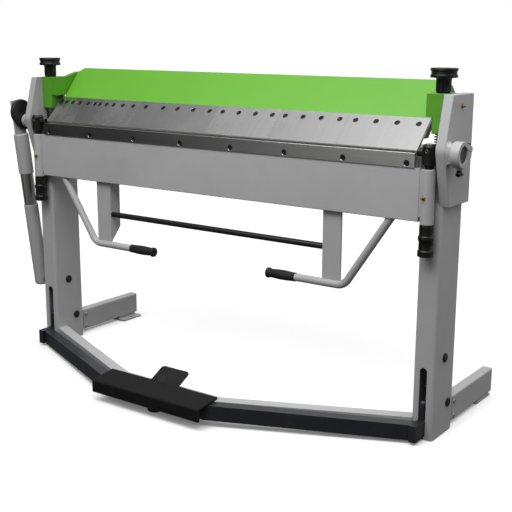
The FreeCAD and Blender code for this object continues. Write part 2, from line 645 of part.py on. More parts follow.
def foot_bolts():
    """Cross bolts of both feet, button heads on both sides."""
    bolts = []
    for z in FOOT_BOLT_HEIGHTS:
        width = FOOT_WIDTH
        profile = [(0, -3), (5, -3), (8, 0), (FOOT_BOLT_RADIUS, 0), (FOOT_BOLT_RADIUS, width),
                   (8, width), (5, width + 3), (0, width + 3)]
        bolts += both_ends(turned(profile, (FOOT_X, FOOT_BOLT_Y, z), (1, 0, 0)))
    return bolts


def strut_stud():
    """Stud on the left post that the foot of the balance strut hangs round."""
    start = (POST_OUTER, STRUT_FOOT_Y, STRUT_FOOT_Z)
    flange = cylinder(11, start, (POST_OUTER + 6, STRUT_FOOT_Y, STRUT_FOOT_Z))
    pin = cylinder(STRUT_PIN_RADIUS, start, (STRUT_X, STRUT_FOOT_Y, STRUT_FOOT_Z))
    return mirrored(joined(flange, pin))


def finger_face(share):
    """Point of the fingers' slanted front face, a share of the way up."""
    return FINGER_TOP_Y * share, CLAMP_Z + FINGER_RISE * share


def into_face(point, depth):
    """Point at a depth square behind a point of the fingers' front face."""
    return point[0] - FACE_OUT[0] * depth, point[1] - FACE_OUT[1] * depth


def finger_starts():
    """Left edge of each finger."""
    edge = -HALF_LENGTH
    starts = []
    for width in FINGER_WIDTHS:
        starts.append(edge)
        edge += width
    return starts


def screw_axis(x, front, back):
    """Ends of a finger screw's axis, at depths behind the front face."""
    face = finger_face(FINGER_SCREW_SHARE)
    near = into_face(face, front)
    far = into_face(face, back)
    return (x, near[0], near[1]), (x, far[0], far[1])


def finger(start, width, screws):
    """One finger: slanted plate ground to the bending edge, counterbored for its screws."""
    top = finger_face(1)
    back = into_face(top, FINGER_THICKNESS)
    toe_back = FINGER_THICKNESS / FACE_UP[1]
    outline = [(0, CLAMP_Z), top, back, (toe_back, CLAMP_Z)]
    plate = extruded(outline, "yz", start + FINGER_JOINT / 2, start + width - FINGER_JOINT / 2)
    cuts = []
    for offset in screws:
        cuts.append(cylinder(SCREW_HEAD_RADIUS + SEAT, *screw_axis(start + offset, -1, SCREW_SEAT_DEPTH)))
        cuts.append(cylinder(SCREW_RADIUS + RUNNING,
                             *screw_axis(start + offset, 0, FINGER_THICKNESS + 1)))
    return plate.cut(cuts)


def finger_screws():
    """Socket screws that hold the fingers to the beam."""
    screw = plain_screw(SCREW_HEAD_RADIUS, SCREW_HEAD_HEIGHT, SCREW_RADIUS, SCREW_GRIP)
    placed = []
    for start, offsets in zip(finger_starts(), FINGER_SCREWS):
        for offset in offsets:
            seat = screw_axis(start + offset, SCREW_SEAT_DEPTH, 10)[0]
            placed.append(aimed(screw, seat, (0, FACE_OUT[0], FACE_OUT[1])))
    return placed


def cover_line(depth):
    """Two points of the cover's plane at a depth below its outer face."""
    y, z = into_face(finger_face(1 + SEAT / FACE_LENGTH), COVER_SETBACK)
    angle = math.radians(COVER_ANGLE)
    y += depth * math.sin(angle)
    z -= depth * math.cos(angle)
    return (y, z), (y + COVER_LENGTH * math.cos(angle), z + COVER_LENGTH * math.sin(angle))


def on_line(line, y):
    """Height of a line through two points at a given y."""
    (y0, z0), (y1, z1) = line
    return z0 + (z1 - z0) * (y - y0) / (y1 - y0)


def clamp_beam():
    """Clamping beam: slanted bar that carries the fingers and a box section behind it."""
    back = into_face(finger_face(1), FINGER_THICKNESS)
    bottom_z = CLAMP_Z + BAR_BOTTOM_RISE
    box_z = CLAMP_Z + BEAM_BOTTOM_RISE
    slope = FACE_UP[0] / FACE_UP[1]
    under = cover_line(COVER_THICKNESS)
    top_y = back[0] - SEAT
    top = (top_y, min(on_line(under, top_y), back[1] - SEAT / slope))
    front_y = back[0] - (back[1] - bottom_z) * slope
    rear_y = front_y + BAR_THICKNESS / FACE_UP[1]
    outline = [(front_y, bottom_z), top, (BEAM_REAR, on_line(under, BEAM_REAR)), (BEAM_REAR, box_z),
               (rear_y + (box_z - bottom_z) * slope, box_z), (rear_y, bottom_z)]
    beam = extruded(outline, "yz", -HALF_LENGTH, HALF_LENGTH)
    inside = cover_line(COVER_THICKNESS + BEAM_WALL)
    floor_z = box_z + BEAM_WALL
    (y0, z0), (y1, z1) = inside
    front = y0 + (floor_z - z0) * (y1 - y0) / (z1 - z0)
    rear = BEAM_REAR - BEAM_WALL
    hollow = extruded([(front, floor_z), (rear, on_line(inside, rear)), (rear, floor_z)],
                      "yz", -HALF_LENGTH - 1, HALF_LENGTH + 1)
    depth = SCREW_SEAT_DEPTH + SCREW_GRIP + 1
    holes = []
    for start, offsets in zip(finger_starts(), FINGER_SCREWS):
        for offset in offsets:
            holes.append(cylinder(SCREW_RADIUS + RUNNING,
                                  *screw_axis(start + offset, FINGER_THICKNESS - 1, depth)))
    return beam.cut([hollow] + holes)


def end_casting():
    """Right end casting: plate on the beam's end and the block that the spindle pulls down."""
    low = CLAMP_Z + CASTING_PLATE_RISE
    box_z = CLAMP_Z + BEAM_BOTTOM_RISE
    plate = extruded([(CASTING_FRONT, low, 3), (CASTING_FRONT, CASTING_TOP, 3),
                      (CASTING_FRONT + CASTING_DEPTH, CASTING_TOP, 20),
                      (BEAM_REAR + 2, CASTING_TOP + 18, 8), (BEAM_REAR + 24, CASTING_TOP - 4, 8),
                      (BEAM_REAR + 12, box_z, 12), (BEAM_REAR - 25, box_z, 12),
                      (BEAM_REAR - 44, low, 12)],
                     "yz", HALF_LENGTH, HALF_LENGTH + CASTING_PLATE)
    block = extruded([(CASTING_FRONT, CASTING_BOTTOM, 3), (CASTING_FRONT, CASTING_TOP, 3),
                      (CASTING_FRONT + CASTING_DEPTH, CASTING_TOP, 3),
                      (CASTING_FRONT + CASTING_DEPTH, CASTING_BOTTOM, 8)],
                     "yz", HALF_LENGTH + CASTING_PLATE, HEAD_INNER - CASTING_SIDE_GAP)
    bore = cylinder(SPINDLE_RADIUS + RUNNING, (SIDE_X, SPINDLE_Y, CASTING_BOTTOM - 1),
                    (SIDE_X, SPINDLE_Y, CASTING_TOP + 1))
    return joined(plate, block).cut(bore)


def cover():
    """Bent sheet over the beam, its top corners cut off and its top edge folded back."""
    half = HALF_LENGTH - COVER_HALF_GAP
    low, high = cover_line(0)
    fold = (high[0] + COVER_FOLD[0], high[1] + COVER_FOLD[1])
    profile = sheet([low, high, fold], COVER_THICKNESS)
    shell = extruded(profile, "yz", -half, half)
    start = half - COVER_CLIP_WIDTH
    corner = [(start, high[1] + 0.2), (half + 1, high[1] - COVER_CLIP_HEIGHT),
              (half + 1, high[1] + 20), (start, high[1] + 20)]
    clipped = extruded(corner, "xz", 0, high[0] + 100)
    relief = box(start, half + 1, high[0] + 0.5, high[0] + 100, high[1] - 60, high[1] + 10)
    return shell.cut([clipped, mirrored(clipped), relief, mirrored(relief)])


def spindle():
    """Right spindle: thick upper end through the casting, pull rod and fork on the lever."""
    step_z = POST_HEIGHT - 20
    top_z = CASTING_TOP + KNOB_HEIGHT - 14
    fork_top = PEDAL_AXLE_Z + 67
    fork_inside = PEDAL_AXLE_Z + 52
    half = LEVER_THICKNESS / 2 + SEAT
    cheek = half + 6
    rod = turned([(0, fork_top - 1), (PULL_ROD_RADIUS, fork_top - 1), (PULL_ROD_RADIUS, step_z - 5),
                  (SPINDLE_RADIUS, step_z), (SPINDLE_RADIUS, top_z - 2), (SPINDLE_RADIUS - 2, top_z),
                  (0, top_z)], (SIDE_X, SPINDLE_Y, 0), (0, 0, 1))
    fork_outline = [(SPINDLE_Y - 14, PEDAL_AXLE_Z - 14, 13.9), (SPINDLE_Y + 14, PEDAL_AXLE_Z - 14, 13.9),
                    (SPINDLE_Y + 14, fork_top, 5), (SPINDLE_Y - 14, fork_top, 5)]
    fork = extruded(fork_outline, "yz", SIDE_X - cheek, SIDE_X + cheek)
    gap = box(SIDE_X - half, SIDE_X + half, SPINDLE_Y - 20, SPINDLE_Y + 20,
              PEDAL_AXLE_Z - 20, fork_inside)
    pin = cylinder(FORK_PIN_RADIUS, (SIDE_X - cheek, SPINDLE_Y, PEDAL_AXLE_Z),
                   (SIDE_X + cheek, SPINDLE_Y, PEDAL_AXLE_Z))
    return joined(rod, fork.cut(gap), pin)


def top_knob():
    """Right hand knob on the spindle: two rims with a groove, on a chamfered neck."""
    low = CASTING_TOP + SEAT
    high = CASTING_TOP + KNOB_HEIGHT + 1
    disc = high - 27
    bore = SPINDLE_RADIUS + RUNNING
    bore_top = CASTING_TOP + KNOB_HEIGHT - 14 + SEAT
    profile = [(bore, low), (KNOB_NECK_RADIUS - 3, low), (KNOB_NECK_RADIUS, low + 4),
               (KNOB_NECK_RADIUS, disc - 3), (KNOB_NECK_RADIUS + 3, disc), (KNOB_RADIUS - 2, disc),
               (KNOB_RADIUS, disc + 2), (KNOB_RADIUS, disc + 8), (KNOB_RADIUS - 3.5, disc + 10.5),
               (KNOB_RADIUS - 3.5, disc + 14.5), (KNOB_RADIUS, disc + 17), (KNOB_RADIUS, disc + 22),
               (KNOB_RADIUS - 3, disc + 25), (KNOB_RADIUS - 11, disc + 25), (KNOB_RADIUS - 14, high),
               (0, high), (0, bore_top), (bore, bore_top)]
    return turned(profile, (SIDE_X, SPINDLE_Y, 0), (0, 0, 1))


def biarc(start, start_tangent, end, end_tangent):
    """Two arcs that join two points and keep both end directions."""
    chord = end - start
    both = start_tangent + end_tangent
    spread = 2 * (1 - start_tangent.dot(end_tangent))
    along = chord.dot(both)
    reach = (math.sqrt(along * along + spread * chord.dot(chord)) - along) / spread
    first = start + start_tangent * reach
    last = end - end_tangent * reach
    meeting = (first + last) * 0.5
    arcs = []
    for low, apex, high in ((start, first, meeting), (meeting, last, end)):
        centre = (low + high) * 0.5
        half = low.distanceToPoint(high) / 2
        height = apex.distanceToPoint(centre)
        leg = math.hypot(half, height)
        middle = centre + (apex - centre) * (half * (leg - half) / (height * height))
        arcs.append(Part.Arc(low, middle, high).toShape())
    return arcs


def clamp_spring():
    """Right compression spring between the bed and the casting, closing up at both ends."""
    bottom = BED_TOP + SEAT + SPRING_WIRE
    height = CASTING_BOTTOM - BED_TOP - 2 * (SEAT + SPRING_WIRE)
    closed = 2 * SPRING_WIRE + 0.7
    ease = 0.75
    open_turns = SPRING_TURNS - 2 * ease
    pitch = (height - closed * 2 * ease * 0.5) / (open_turns + ease)
    quarter = 8
    total = int(SPRING_TURNS * quarter)

    def rise(turns):
        """Height after a number of turns: the pitch grows, stays and shrinks again."""
        if turns > SPRING_TURNS / 2:
            return height - rise(SPRING_TURNS - turns)
        if turns >= ease:
            return (closed + pitch) * ease / 2 + pitch * (turns - ease)
        return closed * turns + (pitch - closed) * turns * turns / (2 * ease)

    def rate(turns):
        """Pitch after a number of turns."""
        from_end = min(turns, SPRING_TURNS - turns)
        return pitch if from_end >= ease else closed + (pitch - closed) * from_end / ease

    def sample(turns):
        """Point and direction of the wire's centre line."""
        angle = 2 * math.pi * turns
        point = FreeCAD.Vector(SIDE_X + SPRING_RADIUS * math.cos(angle),
                               SPINDLE_Y + SPRING_RADIUS * math.sin(angle), bottom + rise(turns))
        tangent = FreeCAD.Vector(-SPRING_RADIUS * math.sin(angle), SPRING_RADIUS * math.cos(angle),
                                 rate(turns) / (2 * math.pi))
        return point, tangent.normalize()

    edges = []
    for index in range(0, total, 2):
        start, start_tangent = sample(index / quarter)
        end, end_tangent = sample((index + 2) / quarter)
        edges += biarc(start, start_tangent, end, end_tangent)
    gaps = [rise(turns / 20 + 1) - rise(turns / 20) - 2 * SPRING_WIRE
            for turns in range(int((SPRING_TURNS - 1) * 20))]
    print("spring: least gap between turns %.2f mm" % min(gaps))
    origin, tangent = sample(0)
    ring = Part.Wire(Part.makeCircle(SPRING_WIRE, origin, tangent))
    return Part.Wire(edges).makePipeShell([ring], True, False)


def sloped_bar(inset):
    """Pedal bar, straight in the middle and slanting back and down to the arms."""
    end = SIDE_X + ARM_WIDTH / 2 - inset
    slope = (ARM_FRONT + 15 - BAR_MIDDLE_FRONT) / (SIDE_X - BAR_MIDDLE_HALF)
    end_front = BAR_MIDDLE_FRONT + slope * (end - BAR_MIDDLE_HALF)

    def section(x, front, bottom):
        """Upright rectangle across the bar."""
        low = bottom + inset
        high = bottom + BAR_HEIGHT - inset
        near = front + inset
        far = front + BAR_DEPTH - inset
        corners = [(x, near, low), (x, far, low), (x, far, high), (x, near, high), (x, near, low)]
        return Part.makePolygon([FreeCAD.Vector(*corner) for corner in corners])

    inner = section(BAR_MIDDLE_HALF, BAR_MIDDLE_FRONT, BAR_MIDDLE_BOTTOM)
    outer = section(end, end_front, ARM_BOTTOM)
    arm = Part.makeLoft([inner, outer], True, True)
    middle = box(-BAR_MIDDLE_HALF, BAR_MIDDLE_HALF, BAR_MIDDLE_FRONT + inset,
                 BAR_MIDDLE_FRONT + BAR_DEPTH - inset, BAR_MIDDLE_BOTTOM + inset,
                 BAR_MIDDLE_BOTTOM + BAR_HEIGHT - inset)
    return joined(middle, arm, mirrored(arm))


def pedal_bar():
    """Hollow pedal bar with the two arms that run back into the posts."""
    half = ARM_WIDTH / 2
    arm = box(SIDE_X - half, SIDE_X + half, ARM_FRONT, ARM_REAR, ARM_BOTTOM, ARM_TOP)
    outside = joined(sloped_bar(0), arm, mirrored(arm))
    return outside.cut(sloped_bar(BAR_WALL))


def pedal_lever():
    """Right lever plate between the arm, the axle and the pull rod's fork."""
    outline = [(ARM_REAR - 23, ARM_TOP), (ARM_REAR - 23, 118, 12), (58, 130, 30),
               (PEDAL_AXLE_Y, PEDAL_AXLE_Z + 24), (PEDAL_AXLE_Y, PEDAL_AXLE_Z - 24), (84, 62, 20),
               (58, 24, 12), (ARM_REAR, 20), (ARM_REAR, ARM_TOP)]
    half = LEVER_THICKNESS / 2
    plate = extruded(outline, "yz", SIDE_X - half, SIDE_X + half)
    hub = cylinder(24, (SIDE_X - half, PEDAL_AXLE_Y, PEDAL_AXLE_Z),
                   (SIDE_X + half, PEDAL_AXLE_Y, PEDAL_AXLE_Z))
    bore = cylinder(AXLE_RADIUS + RUNNING, (SIDE_X - 20, PEDAL_AXLE_Y, PEDAL_AXLE_Z),
                    (SIDE_X + 20, PEDAL_AXLE_Y, PEDAL_AXLE_Z))
    play = FORK_PIN_RADIUS + 3
    shift = LEVER_REACH / math.cos(math.radians(PEDAL_ANGLE)) - LEVER_REACH
    slot_outline = [(SPINDLE_Y - shift - play, PEDAL_AXLE_Z - play, play - 0.01),
                    (SPINDLE_Y + play, PEDAL_AXLE_Z - play, play - 0.01),
                    (SPINDLE_Y + play, PEDAL_AXLE_Z + play, play - 0.01),
                    (SPINDLE_Y - shift - play, PEDAL_AXLE_Z + play, play - 0.01)]
    slot = extruded(slot_outline, "yz", SIDE_X - 20, SIDE_X + 20)
    return joined(plate, hub).cut([bore, slot])


def tread():
    """Folded foot plate on the pedal bar, with the tab that stands up behind it."""
    path = [(TREAD_REAR, TREAD_REAR_TOP), (TREAD_FRONT, TREAD_FRONT_TOP),
            (TREAD_FRONT, TREAD_LIP_BOTTOM)]
    profile = sheet(path[::-1], TREAD_THICKNESS)
    outline = [(y, z, 0) for y, z in profile]
    outline[1] = (outline[1][0], outline[1][1], 4)
    plate = extruded(outline, "yz", -TREAD_HALF, TREAD_HALF)
    under = TREAD_REAR_TOP - TREAD_DROP
    root = BAR_MIDDLE_FRONT + BAR_DEPTH + 1
    tab_path = [(root, under - TREAD_SLOPE * (TREAD_REAR - root)),
                (TREAD_REAR + 4, under + TREAD_SLOPE * 4), (TREAD_REAR + 69, under + 34)]
    tab_profile = sheet(tab_path, 5)
    plan = extruded([(-TAB_HALF, root), (TAB_HALF, root), (TAB_HALF, TREAD_REAR + 69, 12),
                     (-TAB_HALF, TREAD_REAR + 69, 12)], "xy", 0, 200)
    tab = extruded(tab_profile, "yz", -TAB_HALF, TAB_HALF).common(plan)
    return joined(plate, tab)


def tread_mat():
    """Rubber mat on the foot plate, with its long ribs."""
    ribs = 11
    length = math.hypot(TREAD_REAR - TREAD_FRONT, TREAD_REAR_TOP - TREAD_FRONT_TOP) - 4
    pitch = length / ribs
    points = [(0, 0)]
    for index in range(ribs):
        start = index * pitch
        points += [(start, MAT_THICKNESS), (start + pitch * 0.6, MAT_THICKNESS),
                   (start + pitch * 0.6, MAT_THICKNESS * 0.5), (start + pitch, MAT_THICKNESS * 0.5)]
    points += [(length, 0)]
    along = FreeCAD.Vector(TREAD_REAR - TREAD_FRONT, TREAD_REAR_TOP - TREAD_FRONT_TOP, 0).normalize()
    across = FreeCAD.Vector(-along.y, along.x, 0)
    base = FreeCAD.Vector(TREAD_FRONT, TREAD_FRONT_TOP, 0) + along * 4
    outline = []
    for u, v in points:
        point = base + along * u + across * v
        outline.append((point.x, point.y))
    return extruded(outline, "yz", -TREAD_HALF + 2, TREAD_HALF - 2)


def pedal_foot():
    """Rubber foot under the middle of the pedal bar."""
    high = BAR_MIDDLE_BOTTOM
    profile = [(0, 0), (PEDAL_FOOT_RADIUS - 3, 0), (PEDAL_FOOT_RADIUS, 3), (PEDAL_FOOT_RADIUS, high - 8),
               (PEDAL_FOOT_RADIUS - 5, high), (0, high)]
    return turned(profile, (0, PEDAL_FOOT_Y, 0), (0, 0, 1))


def leaf_plate():
    """Leaf: thick plate rebated for the rail, relieved behind its top edge, with end ears."""
    bevel = LEAF_BACK - LEAF_FLAT
    outline = [(LEAF_FRONT, LEAF_BOTTOM, 2), (LEAF_FRONT, RAIL_BOTTOM), (RAIL_BACK, RAIL_BOTTOM),
               (RAIL_BACK, LEAF_TOP), (LEAF_FLAT, LEAF_TOP), (LEAF_BACK, LEAF_TOP - bevel),
               (LEAF_BACK, LEAF_BOTTOM, 2)]
    half = HALF_LENGTH + LEAF_OVERHANG
    plate = extruded(outline, "yz", -half, half)
    ear_outline = [(half, LEAF_BOTTOM + 12), (SIDE_X - SLEEVE_RADIUS + 8, LEAF_BOTTOM + 22, 6),
                   (SIDE_X - SLEEVE_RADIUS + 8, SLEEVE_TOP - 8, 4), (half, SLEEVE_TOP - 2)]
    ear = extruded(ear_outline, "xz", LEAF_FRONT + 1, LEAF_BACK - 3)
    bore = cylinder(SLEEVE_RADIUS + RUNNING, (SIDE_X, SLEEVE_Y, LEAF_BOTTOM - 10),
                    (SIDE_X, SLEEVE_Y, LEAF_TOP))
    holes = [cylinder(RAIL_SCREW_RADIUS + RUNNING, (x, RAIL_BACK - 1, RAIL_SCREW_Z),
                      (x, RAIL_BACK + 13, RAIL_SCREW_Z)) for x in rail_screw_places()]
    return joined(plate, ear, mirrored(ear)).cut(both_ends(bore) + holes)


def rail_screw_places():
    """Screw positions along the leaf's rail."""
    first = -RAIL_SCREW_PITCH * (RAIL_SCREW_COUNT - 1) / 2
    return [first + RAIL_SCREW_PITCH * index for index in range(RAIL_SCREW_COUNT)]


def leaf_rail():
    """Ground rail along the leaf's top edge, counterbored for its screws."""
    outline = [(RAIL_FRONT, RAIL_BOTTOM, 1), (RAIL_FRONT, LEAF_TOP, 1.5), (RAIL_BACK, LEAF_TOP),
               (RAIL_BACK, RAIL_BOTTOM)]
    rail = extruded(outline, "yz", -HALF_LENGTH, HALF_LENGTH)
    cuts = []
    for x in rail_screw_places():
        cuts.append(cylinder(RAIL_HEAD_RADIUS + SEAT, (x, RAIL_FRONT - 1, RAIL_SCREW_Z),
                             (x, RAIL_FRONT + RAIL_HEAD_HEIGHT + 1, RAIL_SCREW_Z)))
        cuts.append(cylinder(RAIL_SCREW_RADIUS + RUNNING, (x, RAIL_FRONT - 1, RAIL_SCREW_Z),
                             (x, RAIL_BACK + 1, RAIL_SCREW_Z)))
    return rail.cut(cuts)


def rail_screws():
    """Socket screws of the leaf's rail."""
    length = RAIL_THICKNESS - RAIL_HEAD_HEIGHT - 1 + 12
    screw = plain_screw(RAIL_HEAD_RADIUS, RAIL_HEAD_HEIGHT, RAIL_SCREW_RADIUS, length)
    seat = RAIL_FRONT + RAIL_HEAD_HEIGHT + 1
    return [aimed(screw, (x, seat, RAIL_SCREW_Z), (0, -1, 0)) for x in rail_screw_places()]


def leaf_sleeve():
    """Right sleeve that slides on the pivot block's stem."""
    profile = [(STEM_RADIUS + RUNNING, SLEEVE_BOTTOM), (SLEEVE_RADIUS - 1.5, SLEEVE_BOTTOM),
               (SLEEVE_RADIUS, SLEEVE_BOTTOM + 1.5), (SLEEVE_RADIUS, SLEEVE_TOP - 1.5),
               (SLEEVE_RADIUS - 1.5, SLEEVE_TOP), (STEM_RADIUS + RUNNING, SLEEVE_TOP)]
    return turned(profile, (SIDE_X, SLEEVE_Y, 0), (0, 0, 1))


def pivot_block():
    """Right pivot block on the bending axis, with the stem that carries the leaf."""
    top = AXIS_Z + BLOCK_ABOVE_AXIS
    bottom = top - BLOCK_HEIGHT
    stem_end = SLEEVE_BOTTOM - LEAF_KNOB_LENGTH + 30
    profile = [(0, stem_end), (STEM_RADIUS - 2, stem_end), (STEM_RADIUS, stem_end + 2),
               (STEM_RADIUS, bottom - 3), (BLOCK_RADIUS - 3, bottom - 1), (BLOCK_RADIUS, bottom + 2),
               (BLOCK_RADIUS, top - 4), (BLOCK_RADIUS - 4, top), (0, top)]
    block = turned(profile, (SIDE_X, SLEEVE_Y, 0), (0, 0, 1))
    bore = cylinder(SPIGOT_RADIUS + RUNNING, (SIDE_X - 2, 0, AXIS_Z), (SIDE_X + 30, 0, AXIS_Z))
    set_screw = cylinder(4, (SIDE_X, SLEEVE_Y - 30, AXIS_Z), (SIDE_X, SLEEVE_Y - BLOCK_RADIUS + 5, AXIS_Z))
    return block.cut([bore, set_screw])


def right_shaft():
    """Right leaf shaft, its thick end held in the split collar."""
    profile = [(0, SIDE_X - 2), (SPIGOT_RADIUS, SIDE_X - 2), (SPIGOT_RADIUS, HEAD_INNER - 4),
               (SHAFT_RADIUS, HEAD_INNER - 4), (SHAFT_RADIUS, COLLAR_START + 1),
               (SHAFT_END_RADIUS, COLLAR_START + 1), (SHAFT_END_RADIUS, SHAFT_END - 1.5),
               (SHAFT_END_RADIUS - 1.5, SHAFT_END), (0, SHAFT_END)]
    return turned(profile, (0, 0, AXIS_Z), (1, 0, 0))


def left_shaft():
    """Left leaf shaft, long enough to carry the crank outside the head's boss."""
    end = HEAD_OUTER + BOSS_LENGTH + 1 + CRANK_THICKNESS
    profile = [(0, SIDE_X - 2), (SPIGOT_RADIUS, SIDE_X - 2), (SPIGOT_RADIUS, HEAD_INNER - 4),
               (SHAFT_RADIUS, HEAD_INNER - 4), (SHAFT_RADIUS, end), (0, end)]
    return mirrored(turned(profile, (0, 0, AXIS_Z), (1, 0, 0)))


def crank():
    """Crank on the left shaft: hub, wide round end and the pin that pulls the strut."""
    start = HEAD_OUTER + BOSS_LENGTH + 1
    end = start + CRANK_THICKNESS
    pin_z = AXIS_Z + CRANK_PIN_RISE
    hub = cylinder(CRANK_HUB_RADIUS, (start, 0, AXIS_Z), (end, 0, AXIS_Z))
    round_end = cylinder(CRANK_END_RADIUS, (start, CRANK_PIN_Y, pin_z), (end, CRANK_PIN_Y, pin_z))
    line = FreeCAD.Vector(CRANK_PIN_Y, CRANK_PIN_RISE, 0)
    along = FreeCAD.Vector(line).normalize()
    aside = FreeCAD.Vector(-along.y, along.x, 0)
    lean = (CRANK_END_RADIUS - CRANK_HUB_RADIUS) / line.Length
    fit = math.sqrt(1 - lean * lean)
    web = []
    for side, order in ((1, (0, 1)), (-1, (1, 0))):
        direction = aside * (side * fit) - along * lean
        pair = [direction * CRANK_HUB_RADIUS, line + direction * CRANK_END_RADIUS]
        web += [(pair[index].x, AXIS_Z + pair[index].y) for index in order]
    body = joined(hub, round_end, extruded(web, "yz", start, end))
    pin = turned([(0, end - 1), (CRANK_PIN_RADIUS, end - 1), (CRANK_PIN_RADIUS, STRUT_X + 5.5),
                  (13, STRUT_X + 5.5), (13, STRUT_X + 9), (10, STRUT_X + 11), (0, STRUT_X + 11)],
                 (0, CRANK_PIN_Y, pin_z), (1, 0, 0))
    bore = cylinder(SHAFT_RADIUS + RUNNING, (start - 1, 0, AXIS_Z), (end + 1, 0, AXIS_Z))
    return mirrored(joined(body, pin).cut(bore))


def along_strut(shape):
    """Turn a piece made along +Z from the crank pin into the strut's line, at the left end."""
    moved = shape.copy()
    turn = FreeCAD.Rotation(FreeCAD.Vector(0, 0, 1), STRUT_LINE)
    pin = FreeCAD.Vector(-STRUT_X, CRANK_PIN_Y, AXIS_Z + CRANK_PIN_RISE)
    moved.Placement = FreeCAD.Placement(pin, turn)
    return moved


def strut_fork():
    """Upper half of the strut: flat eye bar on the crank pin, closed on top of its tube."""
    bar = box(-5, 5, -25, 25, -45, STRUT_TUBE_START + 2)
    eye = cylinder(CRANK_PIN_RADIUS + RUNNING, (-10, 0, 0), (10, 0, 0))
    bore = STRUT_ROD_RADIUS + RUNNING
    tube = turned([(0, STRUT_TUBE_START), (STRUT_UPPER_RADIUS - 3, STRUT_TUBE_START),
                   (STRUT_UPPER_RADIUS, STRUT_TUBE_START + 3), (STRUT_UPPER_RADIUS, STRUT_TUBE_END),
                   (bore, STRUT_TUBE_END), (bore, STRUT_TUBE_START + 8), (0, STRUT_TUBE_START + 8)],
                  (0, 0, 0), (0, 0, 1))
    return along_strut(joined(bar.cut(eye), tube))


def strut_rod():
    """Polished inner tube of the strut."""
    start = STRUT_TUBE_START + 8 + STRUT_STROKE + 6
    end = STRUT_LOWER_START + 120
    return along_strut(turned([(STRUT_ROD_RADIUS - 4, start), (STRUT_ROD_RADIUS, start),
                               (STRUT_ROD_RADIUS, end), (STRUT_ROD_RADIUS - 4, end)],
                              (0, 0, 0), (0, 0, 1)))


def strut_tube():
    """Lower half of the strut: closed tube with a window that drops over the post's stud."""
    bore = STRUT_ROD_RADIUS + RUNNING
    end = STRUT_LINE.Length + STRUT_TAIL
    outer = STRUT_LOWER_RADIUS
    tube = turned([(bore, STRUT_LOWER_START), (outer - 1, STRUT_LOWER_START),
                   (outer, STRUT_LOWER_START + 1), (outer, end - 8), (outer - 3, end - 2),
                   (outer - 9, end), (0, end), (0, end - 4), (bore, end - 4)],
                  (0, 0, 0), (0, 0, 1))
    side, down = STRUT_WINDOW_SHIFT
    width, height = STRUT_WINDOW
    middle = STRUT_LINE.Length + down
    window = box(0, outer + 1, side - width / 2, side + width / 2,
                 middle - height / 2, middle + height / 2)
    return along_strut(tube.cut(window))


def leaf_knob():
    """Right knob under the sleeve, with a ring round its middle and a wider foot."""
    top = SLEEVE_BOTTOM - SEAT
    bottom = top - LEAF_KNOB_LENGTH
    wide = LEAF_KNOB_RADIUS + 2.5
    bore = STEM_RADIUS + RUNNING
    profile = [(bore, top), (LEAF_KNOB_RADIUS - 2, top), (LEAF_KNOB_RADIUS, top - 3),
               (LEAF_KNOB_RADIUS, bottom + 61), (wide, bottom + 59), (wide, bottom + 48),
               (LEAF_KNOB_RADIUS, bottom + 46), (LEAF_KNOB_RADIUS, bottom + 19), (wide, bottom + 17),
               (wide, bottom + 2), (wide - 2, bottom), (0, bottom), (0, bottom + 28),
               (bore, bottom + 28)]
    return turned(profile, (SIDE_X, SLEEVE_Y, 0), (0, 0, 1))


def handle_pipe(radius, overrun):
    """Round sweep along the right handle's centre line."""
    low_z = LEAF_BOTTOM - HANDLE_DROP
    top = FreeCAD.Vector(HANDLE_TOP_X, HANDLE_Y, LEAF_BOTTOM)
    bend = FreeCAD.Vector(HANDLE_BEND_X, HANDLE_Y, low_z)
    inner = FreeCAD.Vector(HANDLE_INNER_X, HANDLE_Y, low_z)
    upward = (top - bend).normalize()
    inward = (inner - bend).normalize()
    start = top + upward * 20
    half = upward.getAngle(inward) / 2
    reach = HANDLE_BEND_RADIUS / math.tan(half)
    first = bend + upward * reach
    last = bend + inward * reach
    toward = (upward + inward).normalize()
    middle = bend + toward * (HANDLE_BEND_RADIUS / math.sin(half) - HANDLE_BEND_RADIUS)
    path = Part.Wire([Part.LineSegment(start, first).toShape(),
                      Part.Arc(first, middle, last).toShape(),
                      Part.LineSegment(last, inner + inward * overrun).toShape()])
    ring = Part.Wire(Part.makeCircle(radius, start, upward * -1))
    return path.makePipeShell([ring], True, False)


def handle():
    """Right handle: bent tube from the leaf's lower edge to the grip."""
    tube = handle_pipe(HANDLE_RADIUS, 0).cut(handle_pipe(HANDLE_RADIUS - HANDLE_WALL, 1))
    above = box(HANDLE_TOP_X - 60, HANDLE_TOP_X + 60, HANDLE_Y - 40, HANDLE_Y + 40,
                LEAF_BOTTOM, LEAF_BOTTOM + 60)
    return tube.cut(above)


def handle_bracket():
    """Right angle bracket between the leaf's lower edge and the handle, coped to the tube."""
    front = HANDLE_Y - 1
    axis_z = LEAF_BOTTOM - HANDLE_DROP
    low_z = axis_z + HANDLE_RADIUS / 2
    flange = box(BRACKET_INNER_X, BRACKET_OUTER_X, front, front + BRACKET_THICKNESS, low_z, LEAF_BOTTOM)
    web_outline = [(front, low_z), (front + 6, low_z), (front + 6, axis_z + HANDLE_RADIUS + 2),
                   (front + BRACKET_DEPTH, axis_z + HANDLE_RADIUS + 52, 6),
                   (front + BRACKET_DEPTH, LEAF_BOTTOM), (front, LEAF_BOTTOM)]
    web = extruded(web_outline, "yz", BRACKET_INNER_X, BRACKET_INNER_X + BRACKET_THICKNESS)
    return joined(flange, web).cut(handle_pipe(HANDLE_RADIUS + RUNNING, 1))


